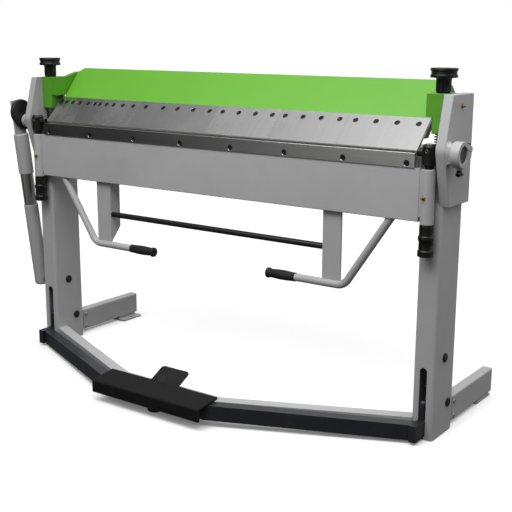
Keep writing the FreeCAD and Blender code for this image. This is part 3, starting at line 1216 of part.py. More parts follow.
def grip():
    """Right grip sleeve on the handle tube: swelling in the middle, flanged at both ends."""
    bore = HANDLE_RADIUS + RUNNING
    wide = GRIP_RADIUS + 2
    start = GRIP_INNER_X + 22
    end = GRIP_OUTER_X - 7
    swell = []
    for share in (1.0, 0.85, 0.7, 0.5, 0.3, 0.15, 0.0):
        bulge = GRIP_SWELL * (1 - (2 * share - 1) ** 2)
        swell.append((GRIP_RADIUS + bulge, start + (end - start) * share))
    profile = [(bore, HANDLE_INNER_X), (bore, GRIP_OUTER_X), (wide - 1, GRIP_OUTER_X),
               (wide, GRIP_OUTER_X - 1), (wide, GRIP_OUTER_X - 5)]
    profile += swell
    profile += [(wide, GRIP_INNER_X + 20), (wide, GRIP_INNER_X + 2),
                (wide - 2, GRIP_INNER_X), (5, GRIP_INNER_X), (5, HANDLE_INNER_X)]
    return turned(profile, (0, HANDLE_Y, LEAF_BOTTOM - HANDLE_DROP), (1, 0, 0))


def cross_rod():
    """Round rod between the two handle brackets."""
    z = LEAF_BOTTOM - ROD_DROP
    y = HANDLE_Y + 11
    return cylinder(ROD_RADIUS, (-BRACKET_INNER_X, y, z), (BRACKET_INNER_X, y, z))


def pieces():
    """Every sub-part by name, as a list of its solids in the building frame."""
    parts = {
        "post_right": [post()],
        "post_left": [mirrored(post())],
        "head_right": [head()],
        "head_left": [left_head()],
        "bed_girder": [bed_girder()],
        "bed_blade": [bed_blade()],
        "tie_beam": [tie_beam()],
        "foot_right": foot(),
        "foot_left": [mirrored(solid) for solid in foot()],
        "cap_bolts": both_ends(capped_bolt(AXLE_RADIUS, PEDAL_AXLE_Y, PEDAL_AXLE_Z))
        + both_ends(capped_bolt(GUIDE_BOLT_RADIUS, GUIDE_BOLT_Y, GUIDE_Z)),
        "foot_bolts": foot_bolts(),
        "rod_guides": both_ends(rod_guide()),
        "hub_collar": [hub_collar()],
        "head_screws": head_screws(),
        "strut_stud": [strut_stud()],
        "clamp_beam": [clamp_beam()],
        "casting_right": [end_casting()],
        "casting_left": [mirrored(end_casting())],
        "cover": [cover()],
        "finger_screws": finger_screws(),
        "spindles": both_ends(spindle()),
        "clamp_springs": both_ends(clamp_spring()),
        "top_knob_right": [top_knob()],
        "top_knob_left": [mirrored(top_knob())],
        "pedal_bar": [pedal_bar()],
        "pedal_levers": both_ends(pedal_lever()),
        "tread": [tread()],
        "tread_mat": [tread_mat()],
        "pedal_foot": [pedal_foot()],
        "leaf_plate": [leaf_plate()],
        "leaf_rail": [leaf_rail()],
        "rail_screws": rail_screws(),
        "leaf_sleeves": both_ends(leaf_sleeve()),
        "pivot_blocks": both_ends(pivot_block()),
        "leaf_shafts": [right_shaft(), left_shaft()],
        "crank": [crank()],
        "handle_right": [handle()],
        "handle_left": [mirrored(handle())],
        "handle_brackets": both_ends(handle_bracket()),
        "grips": both_ends(grip()),
        "cross_rod": [cross_rod()],
        "leaf_knob_right": [leaf_knob()],
        "leaf_knob_left": [mirrored(leaf_knob())],
        "strut_fork": [strut_fork()],
        "strut_rod": [strut_rod()],
        "strut_tube": [strut_tube()],
    }
    for index, start in enumerate(finger_starts()):
        name = "finger_%02d" % (index + 1)
        parts[name] = [finger(start, FINGER_WIDTHS[index], FINGER_SCREWS[index])]
    return parts


def main():
    """Build every sub-part and write one STEP file for each."""
    os.makedirs("parts", exist_ok=True)
    parts = pieces()
    for name in sorted(parts):
        solids = [place(solid) for solid in parts[name]]
        shape = solids[0] if len(solids) == 1 else Part.makeCompound(solids)
        shape.exportStep("parts/%s.step" % name)
    print("%d sub-parts, clamp lift %.2f mm" % (len(parts), CLAMP_LIFT))


main()
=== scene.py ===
"""Looks of a foot-operated box and pan brake: finishes, fine detail, studio light and camera."""

from __future__ import annotations

import json
import logging
import math
import sys
from dataclasses import dataclass, field, replace
from enum import Enum
from typing import Callable, Iterable, Mapping, Sequence

import bmesh
import bpy
from mathutils import Matrix, Vector

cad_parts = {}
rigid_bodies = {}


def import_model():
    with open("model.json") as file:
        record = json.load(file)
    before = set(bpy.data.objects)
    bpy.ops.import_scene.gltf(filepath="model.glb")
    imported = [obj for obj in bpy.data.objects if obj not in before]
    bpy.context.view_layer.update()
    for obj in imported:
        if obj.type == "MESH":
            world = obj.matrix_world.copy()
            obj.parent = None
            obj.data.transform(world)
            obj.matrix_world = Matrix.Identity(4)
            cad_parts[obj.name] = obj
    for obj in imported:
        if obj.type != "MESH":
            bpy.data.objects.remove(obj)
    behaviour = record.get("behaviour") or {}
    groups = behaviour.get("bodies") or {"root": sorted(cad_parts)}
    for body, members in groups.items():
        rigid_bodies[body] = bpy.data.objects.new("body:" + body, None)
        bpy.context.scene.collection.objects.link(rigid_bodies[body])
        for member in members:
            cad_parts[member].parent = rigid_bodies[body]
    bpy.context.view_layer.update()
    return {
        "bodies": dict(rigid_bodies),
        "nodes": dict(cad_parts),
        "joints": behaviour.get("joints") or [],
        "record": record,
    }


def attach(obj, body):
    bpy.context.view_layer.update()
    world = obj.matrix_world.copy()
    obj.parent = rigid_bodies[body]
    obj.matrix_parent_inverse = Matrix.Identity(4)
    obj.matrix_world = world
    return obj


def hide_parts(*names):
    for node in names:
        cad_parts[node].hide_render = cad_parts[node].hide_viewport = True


log = logging.getLogger("folder")

Colour = tuple[float, float, float]
Point = tuple[float, float, float]

# The machine's building frame: X from the middle of the fingers, Y from the bending edge, Z from the
# floor, all in millimetres. The row frame's origin lies at this point of it.
ORIGIN = Vector((-10.0, 81.0, 0.0))
HALF_LENGTH = 760.0
SIDE_X = 802.0
HEAD_OUTER = 856.0
AXIS_Z = 871.5
CLAMP_Z = 875.0
LEAF_TOP = 868.0
LEAF_BOTTOM = 671.5
LEAF_FRONT = -9.7
LEAF_BACK = 15.3
RAIL_FRONT = -12.7
RAIL_BACK = -0.7
RAIL_BOTTOM = 825.0
SLEEVE_Y = -5.0
SPINDLE_Y = 67.0
CASTING_TOP = 1034.0
SLEEVE_BOTTOM = 666.0
POST_INNER = 768.5
POST_OUTER = 838.5
STRUT_X = 895.0
CRANK_PIN = (-20.0, 903.5)
STRUT_FOOT = (57.0, 255.0)


def spot(x: float, y: float, z: float) -> Vector:
    """A point of the building frame, given in millimetres, in metres in the row frame."""
    return (Vector((x, y, z)) - ORIGIN) / 1000


def seat(point: Point, direction: Point, turn: float = 0.0) -> Matrix:
    """Place for a piece that is made along +Z in millimetres.

    Args:
        point: where its origin goes, in the building frame.
        direction: where its +Z goes.
        turn: degrees that it is turned about its own axis first.

    Returns:
        The matrix that takes it into the row frame, in metres.
    """
    aim = Vector(direction).to_track_quat("Z", "Y").to_matrix().to_4x4()
    spin = Matrix.Rotation(math.radians(turn), 4, "Z")
    return Matrix.Translation(spot(*point)) @ aim @ spin @ Matrix.Scale(0.001, 4)


# Shader building


class Link:
    """An output socket of a shader graph."""

    def __init__(self, graph: Graph, socket: bpy.types.NodeSocket) -> None:
        """Keep the socket and the graph that it belongs to."""
        self.graph = graph
        self.socket = socket


class Value(Link):
    """A number that varies over a surface. Arithmetic on it adds Math nodes."""

    def _maths(self, operation: str, first: Operand, second: Operand) -> Value:
        """One Math node of two operands."""
        made = self.graph.node("ShaderNodeMath", {"operation": operation}, {0: first, 1: second})
        return Value(self.graph, made.outputs[0])

    def __add__(self, other: Operand) -> Value:
        """Sum."""
        return self._maths("ADD", self, other)

    def __radd__(self, other: Operand) -> Value:
        """Sum with a plain number first."""
        return self._maths("ADD", other, self)

    def __sub__(self, other: Operand) -> Value:
        """Difference."""
        return self._maths("SUBTRACT", self, other)

    def __rsub__(self, other: Operand) -> Value:
        """Difference from a plain number."""
        return self._maths("SUBTRACT", other, self)

    def __mul__(self, other: Operand) -> Value:
        """Product."""
        return self._maths("MULTIPLY", self, other)

    def between(self, first: Operand, second: Operand) -> Value:
        """First where this number is 0 and the second where it is 1."""
        return first + self * (second - first)

    def ramp(self, low: float, high: float) -> Value:
        """0 below low, 1 above high and smooth between them."""
        made = self.graph.node(
            "ShaderNodeMapRange",
            {"interpolation_type": "SMOOTHSTEP"},
            {"Value": self, "From Min": low, "From Max": high},
        )
        return Value(self.graph, made.outputs["Result"])


Operand = Value | float


class Tint(Link):
    """A colour that varies over a surface."""


class Direction(Link):
    """A vector that varies over a surface."""


class Graph:
    """Node tree of a surface or of the surroundings."""

    def __init__(self, tree: bpy.types.NodeTree) -> None:
        """Keep the tree that its nodes go into."""
        self.tree = tree

    def node(
        self, kind: str, settings: Mapping[str, object], inputs: Mapping[str | int, object]
    ) -> bpy.types.Node:
        """Add a node.

        Args:
            kind: the node's type.
            settings: its own settings, set first.
            inputs: value or link of each socket, by name or number.

        Returns:
            The node.
        """
        made = self.tree.nodes.new(kind)
        for name, value in settings.items():
            setattr(made, name, value)
        for name, value in inputs.items():
            self.feed(made.inputs[name], value)
        return made

    def feed(self, socket: bpy.types.NodeSocket, value: object) -> None:
        """Link a socket, or set it where the value is plain."""
        if isinstance(value, Link):
            self.tree.links.new(value.socket, socket)
        elif isinstance(value, tuple) and len(value) == 3 and socket.type == "RGBA":
            socket.default_value = (*value, 1.0)
        else:
            socket.default_value = value

    def place(self) -> Direction:
        """Position on the piece, in metres along the row frame's axes."""
        made = self.node("ShaderNodeTexCoord", {}, {})
        return Direction(self, made.outputs["Object"])

    def stretched(self, where: Direction, factors: Point) -> Direction:
        """A position with each axis scaled by its own factor."""
        made = self.node("ShaderNodeVectorMath", {"operation": "MULTIPLY"}, {0: where, 1: factors})
        return Direction(self, made.outputs[0])

    def axis(self, where: Direction, name: str) -> Value:
        """One of the three numbers of a vector, X, Y or Z."""
        made = self.node("ShaderNodeSeparateXYZ", {}, {0: where})
        return Value(self, made.outputs[name])

    def noise(self, where: Direction, size: float, detail: float = 2.0, rough: float = 0.5) -> Value:
        """Soft random pattern.

        Args:
            where: position that it follows.
            size: width of its patches in metres.
            detail: octaves of finer pattern in it.
            rough: weight of the finer pattern.

        Returns:
            A number round 0.5.
        """
        made = self.node(
            "ShaderNodeTexNoise",
            {},
            {"Vector": where, "Scale": 1 / size, "Detail": detail, "Roughness": rough},
        )
        return Value(self, made.outputs["Fac"])

    def mixed(self, share: Operand, first: Tint | Colour, second: Tint | Colour) -> Tint:
        """First colour where share is 0 and the second where it is 1."""
        made = self.node("ShaderNodeMix", {"data_type": "RGBA"}, {0: share, 6: first, 7: second})
        return Tint(self, made.outputs[2])

    def eased(self, radius: float, samples: int = 4) -> Direction:
        """Surface direction with sharp edges rounded off by a radius in metres."""
        made = self.node("ShaderNodeBevel", {"samples": samples}, {"Radius": radius})
        return Direction(self, made.outputs[0])

    def edges(self, eased: Direction) -> Value:
        """0 on flat surface, rising to 1 at a sharp edge."""
        flat = self.node("ShaderNodeNewGeometry", {}, {}).outputs["Normal"]
        made = self.node(
            "ShaderNodeVectorMath", {"operation": "DOT_PRODUCT"}, {0: eased, 1: Link(self, flat)}
        )
        return (1.0 - Value(self, made.outputs["Value"])).ramp(0.004, 0.16)

    def bumped(self, height: Value, depth: float, eased: Direction | None = None) -> Direction:
        """Surface direction of a relief whose height is 0 to 1, that depth in metres."""
        inputs: dict[str | int, object] = {"Height": height, "Distance": depth, "Strength": 1.0}
        if eased is not None:
            inputs["Normal"] = eased
        made = self.node("ShaderNodeBump", {}, inputs)
        return Direction(self, made.outputs[0])


class Surface(Graph):
    """Node tree of one material."""

    def __init__(self, name: str) -> None:
        """Start a material of that name."""
        self.material = bpy.data.materials.new(name)
        self.material.use_nodes = True
        super().__init__(self.material.node_tree)
        self.shader = self.tree.nodes["Principled BSDF"]


@dataclass(frozen=True)
class Look:
    """What a finish gives to its surface shader."""

    colour: Tint | Colour
    roughness: Operand
    metallic: Operand
    normal: Direction


@dataclass(frozen=True)
class Finish:
    """One surface finish: its plain numbers, and the pattern that varies them over a piece."""

    name: str
    colour: Colour
    roughness: float
    edge: float = 0.0010
    coat: float = 0.0
    coat_roughness: float = 0.2
    specular: float = 0.5

    def look(self, graph: Surface) -> Look:
        """Nodes of the finish."""
        raise NotImplementedError

    def make(self) -> bpy.types.Material:
        """The finish as a material."""
        graph = Surface(self.name)
        look = self.look(graph)
        shader = graph.shader
        graph.feed(shader.inputs["Base Color"], look.colour)
        graph.feed(shader.inputs["Roughness"], look.roughness)
        graph.feed(shader.inputs["Metallic"], look.metallic)
        graph.feed(shader.inputs["Normal"], look.normal)
        shader.inputs["Coat Weight"].default_value = self.coat
        shader.inputs["Coat Roughness"].default_value = self.coat_roughness
        shader.inputs["Specular IOR Level"].default_value = self.specular
        return graph.material


@dataclass(frozen=True)
class Enamel(Finish):
    """Sprayed enamel: orange peel, slight tone drift, floor dust low down, and edges lightened: partly
    rubbed wear, partly a painted edge highlight.
    """

    peel: float = 0.00012
    drift: float = 0.06
    # Strength of the lightened edges: rubbed wear together with a painted edge highlight.
    rubbed_and_highlit: float = 0.25
    dust: Colour = (0.30, 0.29, 0.27)
    dusty: float = 0.12
    dust_top: float = 0.16
    broad_size: float = 0.34
    cloud_size: float = 0.045
    grain_size: float = 0.0032

    def look(self, graph: Surface) -> Look:
        """Nodes of the enamel."""
        where = graph.place()
        eased = graph.eased(self.edge)
        broad = graph.noise(where, self.broad_size, 3.0)
        cloud = graph.noise(where, self.cloud_size, 4.0, 0.6)
        grain = graph.noise(where, self.grain_size, 2.0)
        deep: Colour = tuple(part * (1 - self.drift) for part in self.colour)
        light: Colour = tuple(min(1.0, part * (1 + self.drift)) for part in self.colour)
        tone = graph.mixed((broad * 0.7 + cloud * 0.3).ramp(0.3, 0.7), deep, light)
        # Lightened edges: partly rubbed-off paint, partly a painted highlight along the edges.
        worn_and_highlit = graph.edges(eased) * cloud.ramp(0.35, 0.65) * self.rubbed_and_highlit
        pale: Colour = tuple(part + (1 - part) * 0.35 for part in self.colour)
        tone = graph.mixed(worn_and_highlit, tone, pale)
        low = 1.0 - graph.axis(where, "Z").ramp(0.0, self.dust_top)
        tone = graph.mixed(low * cloud.ramp(0.42, 0.75) * self.dusty, tone, self.dust)
        rough = self.roughness + (cloud - 0.5) * 0.10 + low * 0.08
        return Look(tone, rough, 0.0, graph.bumped(grain, self.peel, eased))


class Grind(Enum):
    """Which way the wheel ran over a ground face, as stretch factors along X, Y and Z."""

    ALONG = (0.02, 1.0, 1.0)
    UP_THE_FACE = (1.0, 0.03, 0.03)
    ROUND_Z = (0.6, 0.6, 1.6)


@dataclass(frozen=True)
class GroundSteel(Finish):
    """Bare ground steel: fine parallel scratches, a film of oil and a few stains."""

    grind: Grind = Grind.ALONG
    scratch: float = 0.00003
    stain: Colour = (0.30, 0.27, 0.24)
    stained: float = 0.15
    streak: float = 0.10
    uneven: float = 0.05
    line_size: float = 0.0016
    band_size: float = 0.012
    film_size: float = 0.11

    def look(self, graph: Surface) -> Look:
        """Nodes of the ground steel."""
        where = graph.place()
        eased = graph.eased(self.edge)
        lines = graph.noise(graph.stretched(where, self.grind.value), self.line_size, 3.0, 0.65)
        bands = graph.noise(graph.stretched(where, self.grind.value), self.band_size, 2.0)
        film = graph.noise(where, self.film_size, 4.0, 0.6)
        dark: Colour = tuple(part * (1 - self.streak) for part in self.colour)
        tone = graph.mixed((lines * 0.5 + bands * 0.5).ramp(0.36, 0.64), dark, self.colour)
        tone = graph.mixed(film.ramp(0.55, 0.8) * self.stained, tone, self.stain)
        rough = self.roughness + (bands - 0.5) * self.uneven + film.ramp(0.45, 0.75) * 0.04
        return Look(tone, rough, 1.0, graph.bumped(lines, self.scratch, eased))


@dataclass(frozen=True)
class BlackOxide(Finish):
    """Blackened steel: dark and slightly oily, bright at its edges: partly rubbed wear, partly a painted
    highlight on the rims.
    """

    bright: Colour = (0.42, 0.41, 0.39)
    rubbed_and_highlit: float = 0.55
    cloud_size: float = 0.018
    skin_size: float = 0.0012
    skin: float = 0.00003

    def look(self, graph: Surface) -> Look:
        """Nodes of the blackened steel."""
        where = graph.place()
        eased = graph.eased(self.edge)
        cloud = graph.noise(where, self.cloud_size, 4.0, 0.6)
        fine = graph.noise(where, self.skin_size, 2.0)
        brown: Colour = (self.colour[0] * 1.6, self.colour[1] * 1.4, self.colour[2] * 1.2)
        tone = graph.mixed(cloud.ramp(0.4, 0.7), self.colour, brown)
        # Bright, more metallic edges: partly rubbed wear, partly a painted highlight on the rims.
        worn_and_highlit = graph.edges(eased) * self.rubbed_and_highlit * cloud.ramp(0.25, 0.6)
        tone = graph.mixed(worn_and_highlit, tone, self.bright)
        rough = self.roughness + (cloud - 0.5) * 0.14
        return Look(tone, rough, 0.35 + worn_and_highlit * 0.6, graph.bumped(fine, self.skin, eased))


@dataclass(frozen=True)
class Moulded(Finish):
    """Moulded plastic or rubber: spark-eroded skin, dull where it is handled or dusty."""

    skin: float = 0.00006
    skin_size: float = 0.0011
    dust: Colour = (0.12, 0.115, 0.11)
    dusty: float = 0.25
    cloud_size: float = 0.03

    def look(self, graph: Surface) -> Look:
        """Nodes of the moulded surface."""
        where = graph.place()
        eased = graph.eased(self.edge)
        skin = graph.noise(where, self.skin_size, 3.0, 0.6)
        cloud = graph.noise(where, self.cloud_size, 4.0, 0.6)
        tone = graph.mixed(cloud.ramp(0.45, 0.8) * self.dusty, self.colour, self.dust)
        rough = self.roughness + (cloud - 0.5) * 0.16
        return Look(tone, rough, 0.0, graph.bumped(skin, self.skin, eased))


@dataclass(frozen=True)
class PolishedSteel(Finish):
    """Ground and polished bar: drawn scratches along it and a brownish oil film."""

    film: Colour = (0.42, 0.37, 0.32)
    along: Point = (1.0, 1.0, 0.05)
    line_size: float = 0.0018
    film_size: float = 0.05
    filmed: float = 0.45
    scratch: float = 0.00001

    def look(self, graph: Surface) -> Look:
        """Nodes of the polished bar."""
        where = graph.place()
        eased = graph.eased(self.edge)
        drawn = graph.noise(graph.stretched(where, self.along), self.line_size, 3.0)
        film = graph.noise(where, self.film_size, 3.0)
        tone = graph.mixed(film.ramp(0.4, 0.75) * self.filmed, self.colour, self.film)
        rough = self.roughness + (drawn - 0.5) * 0.10 + film.ramp(0.5, 0.8) * 0.06
        return Look(tone, rough, 1.0, graph.bumped(drawn, self.scratch, eased))


class Paintwork(Enum):
    """The machine's finishes by use."""

    GREY = Enamel("grey_enamel", (0.40, 0.40, 0.407), 0.42, edge=0.0022)
    # The cover's green darkened for the castings: painted shade on their recessed fronts.
    CASTING_PAINTED_SHADE = Enamel("casting_enamel_painted_shade", (0.082, 0.300, 0.012), 0.40, edge=0.0020, peel=0.0003,
                     rubbed_and_highlit=0.12, drift=0.05, coat=0.15)
    # Wide lightened edges on the cover: partly wear, partly a painted edge highlight.
    COVER = Enamel("cover_enamel", (0.112, 0.37, 0.021), 0.38, edge=0.0030, rubbed_and_highlit=0.30, drift=0.03,
                   coat=0.2)
    # Strongly lightened chamfers on the crank: a painted rim highlight along with wear.
    CRANK = Enamel("crank_enamel", (0.006, 0.006, 0.006), 0.34, edge=0.0030, rubbed_and_highlit=0.45, dusty=0.02)
    BLACK = Enamel("black_enamel", (0.006, 0.006, 0.006), 0.36, edge=0.0018, rubbed_and_highlit=0.12, dusty=0.02)
    BLUE_BLACK = Enamel("blue_black_enamel", (0.013, 0.014, 0.019), 0.34, edge=0.0018, rubbed_and_highlit=0.10,
                        dusty=0.02)
    TREAD = Enamel("tread_enamel", (0.005, 0.005, 0.005), 0.55, edge=0.0012, peel=0.0002, rubbed_and_highlit=0.2,
                   dust=(0.06, 0.058, 0.055), dusty=0.5, specular=0.25)
    GROUND = GroundSteel("ground_steel", (0.55, 0.54, 0.53), 0.30, edge=0.0005)
    FINGER = GroundSteel("finger_steel", (0.50, 0.495, 0.495), 0.25, edge=0.0004,
                         grind=Grind.UP_THE_FACE, streak=0.04, scratch=0.000002, uneven=0.015)
    RAIL = GroundSteel("rail_steel", (0.53, 0.525, 0.52), 0.22, edge=0.0006, streak=0.06,
                       scratch=0.000004, uneven=0.02)
    SPINDLE = GroundSteel("spindle_steel", (0.25, 0.24, 0.23), 0.34, edge=0.0006,
                          grind=Grind.ROUND_Z)
    SPRING = GroundSteel("spring_steel", (0.06, 0.06, 0.06), 0.40, edge=0.0003,
                         grind=Grind.ROUND_Z)
    OXIDE = BlackOxide("black_oxide", (0.010, 0.010, 0.010), 0.36, edge=0.0007)
    SHAFT = BlackOxide("dark_shaft", (0.030, 0.025, 0.021), 0.45, edge=0.0008, rubbed_and_highlit=0.25)
    ZINC = GroundSteel("zinc_plate", (0.50, 0.51, 0.52), 0.38, edge=0.0006, grind=Grind.ROUND_Z)
    PLASTIC = Moulded("black_plastic", (0.005, 0.005, 0.0045), 0.34, edge=0.0008, dusty=0.03,
                      specular=0.4)
    RUBBER = Moulded("black_rubber", (0.009, 0.009, 0.009), 0.56, edge=0.0010, dusty=0.05,
                     specular=0.35)
    MAT = Moulded("mat_rubber", (0.008, 0.008, 0.008), 0.60, edge=0.0004, dusty=0.10, specular=0.25,
                  dust=(0.05, 0.048, 0.045))
    TUBE = PolishedSteel("polished_tube", (0.60, 0.59, 0.58), 0.30, edge=0.0006,
                         film=(0.46, 0.44, 0.42))
    BRASS = PolishedSteel("brass", (0.34, 0.23, 0.07), 0.40, edge=0.0003, film=(0.20, 0.13, 0.04))


class Paintshop:
    """Makes each finish once and hands out its material."""

    def __init__(self) -> None:
        """Start with no material made."""
        self.made: dict[str, bpy.types.Material] = {}

    def of(self, finish: Finish) -> bpy.types.Material:
        """The material of a finish, made on first use."""
        if finish.name not in self.made:
            self.made[finish.name] = finish.make()
        return self.made[finish.name]


# Meshes


class Form(Enum):
    """Cross-section of a ring of a turned piece."""

    ROUND = "round"
    HEX = "hex"
    RIBBED = "ribbed"


@dataclass(frozen=True)
class Ring:
    """One ring of a turned piece, in millimetres; a hexagon's radius is half its width across flats."""

    radius: float
    height: float
    form: Form = Form.ROUND


@dataclass(frozen=True)
class Ribs:
    """Ribs round a turned piece: how many, how deep, and how much of the pitch is groove."""

    count: int
    depth: float
    groove: float = 0.4

    def at(self, angle: float) -> float:
        """Loss of radius at an angle, in millimetres."""
        place = angle * self.count / (2 * math.pi) % 1.0
        if place > self.groove:
            return 0.0
        return self.depth * math.sin(math.pi * place / self.groove)


Outline = Sequence[tuple[float, float]]


def arc(middle: tuple[float, float], radius: float, start: float, end: float,
        steps: int = 8) -> list[tuple[float, float]]:
    """Points of a plane arc.

    Args:
        middle: its centre.
        radius: its radius.
        start: degrees where it starts.
        end: degrees where it ends.
        steps: how many pieces it is cut into.

    Returns:
        One more point than pieces.
    """
    points = []
    for index in range(steps + 1):
        angle = math.radians(start + (end - start) * index / steps)
        points.append((middle[0] + radius * math.cos(angle), middle[1] + radius * math.sin(angle)))
    return points


@dataclass
class Stock:
    """A mesh being made, its points in metres in the row frame."""

    points: list[Vector] = field(default_factory=list)
    faces: list[tuple[int, ...]] = field(default_factory=list)

    def turn(self, rings: Sequence[Ring], at: Matrix, segments: int = 48,
             ribs: Ribs | None = None) -> None:
        """Add a turned body.

        Args:
            rings: its outline from one end to the other; a radius of 0 closes it.
            at: where it goes.
            segments: points round it.
            ribs: the ribs of its ribbed rings.
        """
        loops: list[list[int]] = []
        for ring in rings:
            loops.append(self._ring(ring, at, segments, ribs))
        for low, high in zip(loops, loops[1:]):
            self.bridge(low, high)

    def _ring(self, ring: Ring, at: Matrix, segments: int, ribs: Ribs | None) -> list[int]:
        """Add the points of one ring and return their numbers."""
        if ring.radius == 0:
            self.points.append(at @ Vector((0, 0, ring.height)))
            return [len(self.points) - 1]
        start = len(self.points)
        for index in range(segments):
            angle = 2 * math.pi * index / segments
            radius = ring.radius
            if ring.form is Form.HEX:
                radius /= math.cos((angle + math.pi / 6) % (math.pi / 3) - math.pi / 6)
            elif ring.form is Form.RIBBED and ribs is not None:
                radius -= ribs.at(angle)
            self.points.append(
                at @ Vector((radius * math.cos(angle), radius * math.sin(angle), ring.height))
            )
        return list(range(start, start + segments))

    def bridge(self, low: list[int], high: list[int]) -> None:
        """Join two rings, either of which may be a single point."""
        count = max(len(low), len(high))
        for index in range(count):
            after = (index + 1) % count
            if len(low) == 1:
                self.faces.append((low[0], high[after], high[index]))
            elif len(high) == 1:
                self.faces.append((low[index], low[after], high[0]))
            else:
                self.faces.append((low[index], low[after], high[after], high[index]))

    def loft(self, loops: Sequence[Sequence[Vector]]) -> None:
        """Add a closed body through loops of as many points each, flat at both ends."""
        rings: list[list[int]] = []
        for loop in loops:
            start = len(self.points)
            self.points.extend(loop)
            rings.append(list(range(start, start + len(loop))))
        for low, high in zip(rings, rings[1:]):
            self.bridge(low, high)
        self.faces.append(tuple(reversed(rings[0])))
        self.faces.append(tuple(rings[-1]))

    def prism(self, outline: Outline, place: Callable[[float, float, float], Vector],
              low: float, high: float) -> None:
        """Add a prism.

        Args:
            outline: its cross-section, in millimetres.
            place: gives the row-frame point of two section numbers and one along the prism.
            low: where it starts along its length.
            high: where it ends.
        """
        self.loft([[place(u, v, along) for u, v in outline] for along in (low, high)])

    def along_x(self, outline: Outline, low: float, high: float) -> None:
        """Add a prism along X whose cross-section is given as Y and Z."""
        self.prism(outline, lambda y, z, x: spot(x, y, z), low, high)

    def bead(self, path: Sequence[Point], radius: float, around: int = 10, step: float = 2.2) -> None:
        """Add a weld bead: a rounded cord whose thickness ripples from puddle to puddle.

        Args:
            path: corners of its line in the building frame, in millimetres.
            radius: its mean radius in millimetres.
            around: points round it.
            step: distance between two rings in millimetres.
        """
        runs: list[tuple[Vector, Vector]] = []
        for first, second in zip(path, path[1:]):
            start, end = Vector(first), Vector(second)
            count = max(2, int((end - start).length / step))
            for index in range(count + (second == path[-1])):
                runs.append((start.lerp(end, index / count), (end - start).normalized()))
        loops: list[list[Vector]] = []
        for index, (centre, along) in enumerate(runs):
            tail = min(index, len(runs) - 1 - index)
            swell = min(1.0, 0.35 + tail * 0.3) * (1 + 0.16 * math.cos(index * 2.1))
            side = along.orthogonal().normalized()
            other = along.cross(side)
            loop = []
            for turn in range(around):
                angle = 2 * math.pi * turn / around
                offset = side * math.cos(angle) + other * math.sin(angle)
                loop.append(spot(*(centre + offset * radius * swell)))
            loops.append(loop)
        self.loft(loops)

    def piece(self, name: str, material: bpy.types.Material, smooth: float = 32.0) -> bpy.types.Object:
        """The mesh as an object.

        Args:
            name: the object's name.
            material: its material.
            smooth: degrees; edges sharper than this stay sharp.

        Returns:
            The object, linked to the scene.
        """
        mesh = bpy.data.meshes.new(name)
        mesh.from_pydata([tuple(point) for point in self.points], [], self.faces)
        mesh.validate()
        shape = bmesh.new()
        shape.from_mesh(mesh)
        bmesh.ops.remove_doubles(shape, verts=shape.verts, dist=1e-6)
        bmesh.ops.dissolve_degenerate(shape, dist=1e-7, edges=shape.edges)
        bmesh.ops.recalc_face_normals(shape, faces=shape.faces)
        shape.to_mesh(mesh)
        shape.free()
        mesh.shade_smooth()
        mesh.set_sharp_from_angle(angle=math.radians(smooth))
        mesh.materials.append(material)
        made = bpy.data.objects.new(name, mesh)
        bpy.context.scene.collection.objects.link(made)
        return made


@dataclass(frozen=True)
class Fitting:
    """How a new piece belongs to the machine."""

    body: str
    slot: str
    stands_for: tuple[str, ...] = ()


@dataclass
class SubAssembly:
    """Some pieces that belong together, and the paintshop that their finishes come from."""

    shop: Paintshop

    def fit(self, stock: Stock, name: str, finish: Paintwork, fitting: Fitting,
            smooth: float = 32.0) -> bpy.types.Object:
        """Turn stock into a piece of the machine and log it.

        Args:
            stock: its mesh.
            name: its name.
            finish: its finish.
            fitting: how it belongs to the machine.
            smooth: degrees; edges sharper than this stay sharp.

        Returns:
            The piece.
        """
        made = stock.piece(name, self.shop.of(finish.value), smooth)
        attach(made, fitting.body)
        if fitting.stands_for:
            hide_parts(*fitting.stands_for)
        log.info("%s: %d faces on %s", name, len(stock.faces), fitting.body)
        return made

    def build(self) -> None:
        """Make the pieces."""
        raise NotImplementedError


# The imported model's own nodes


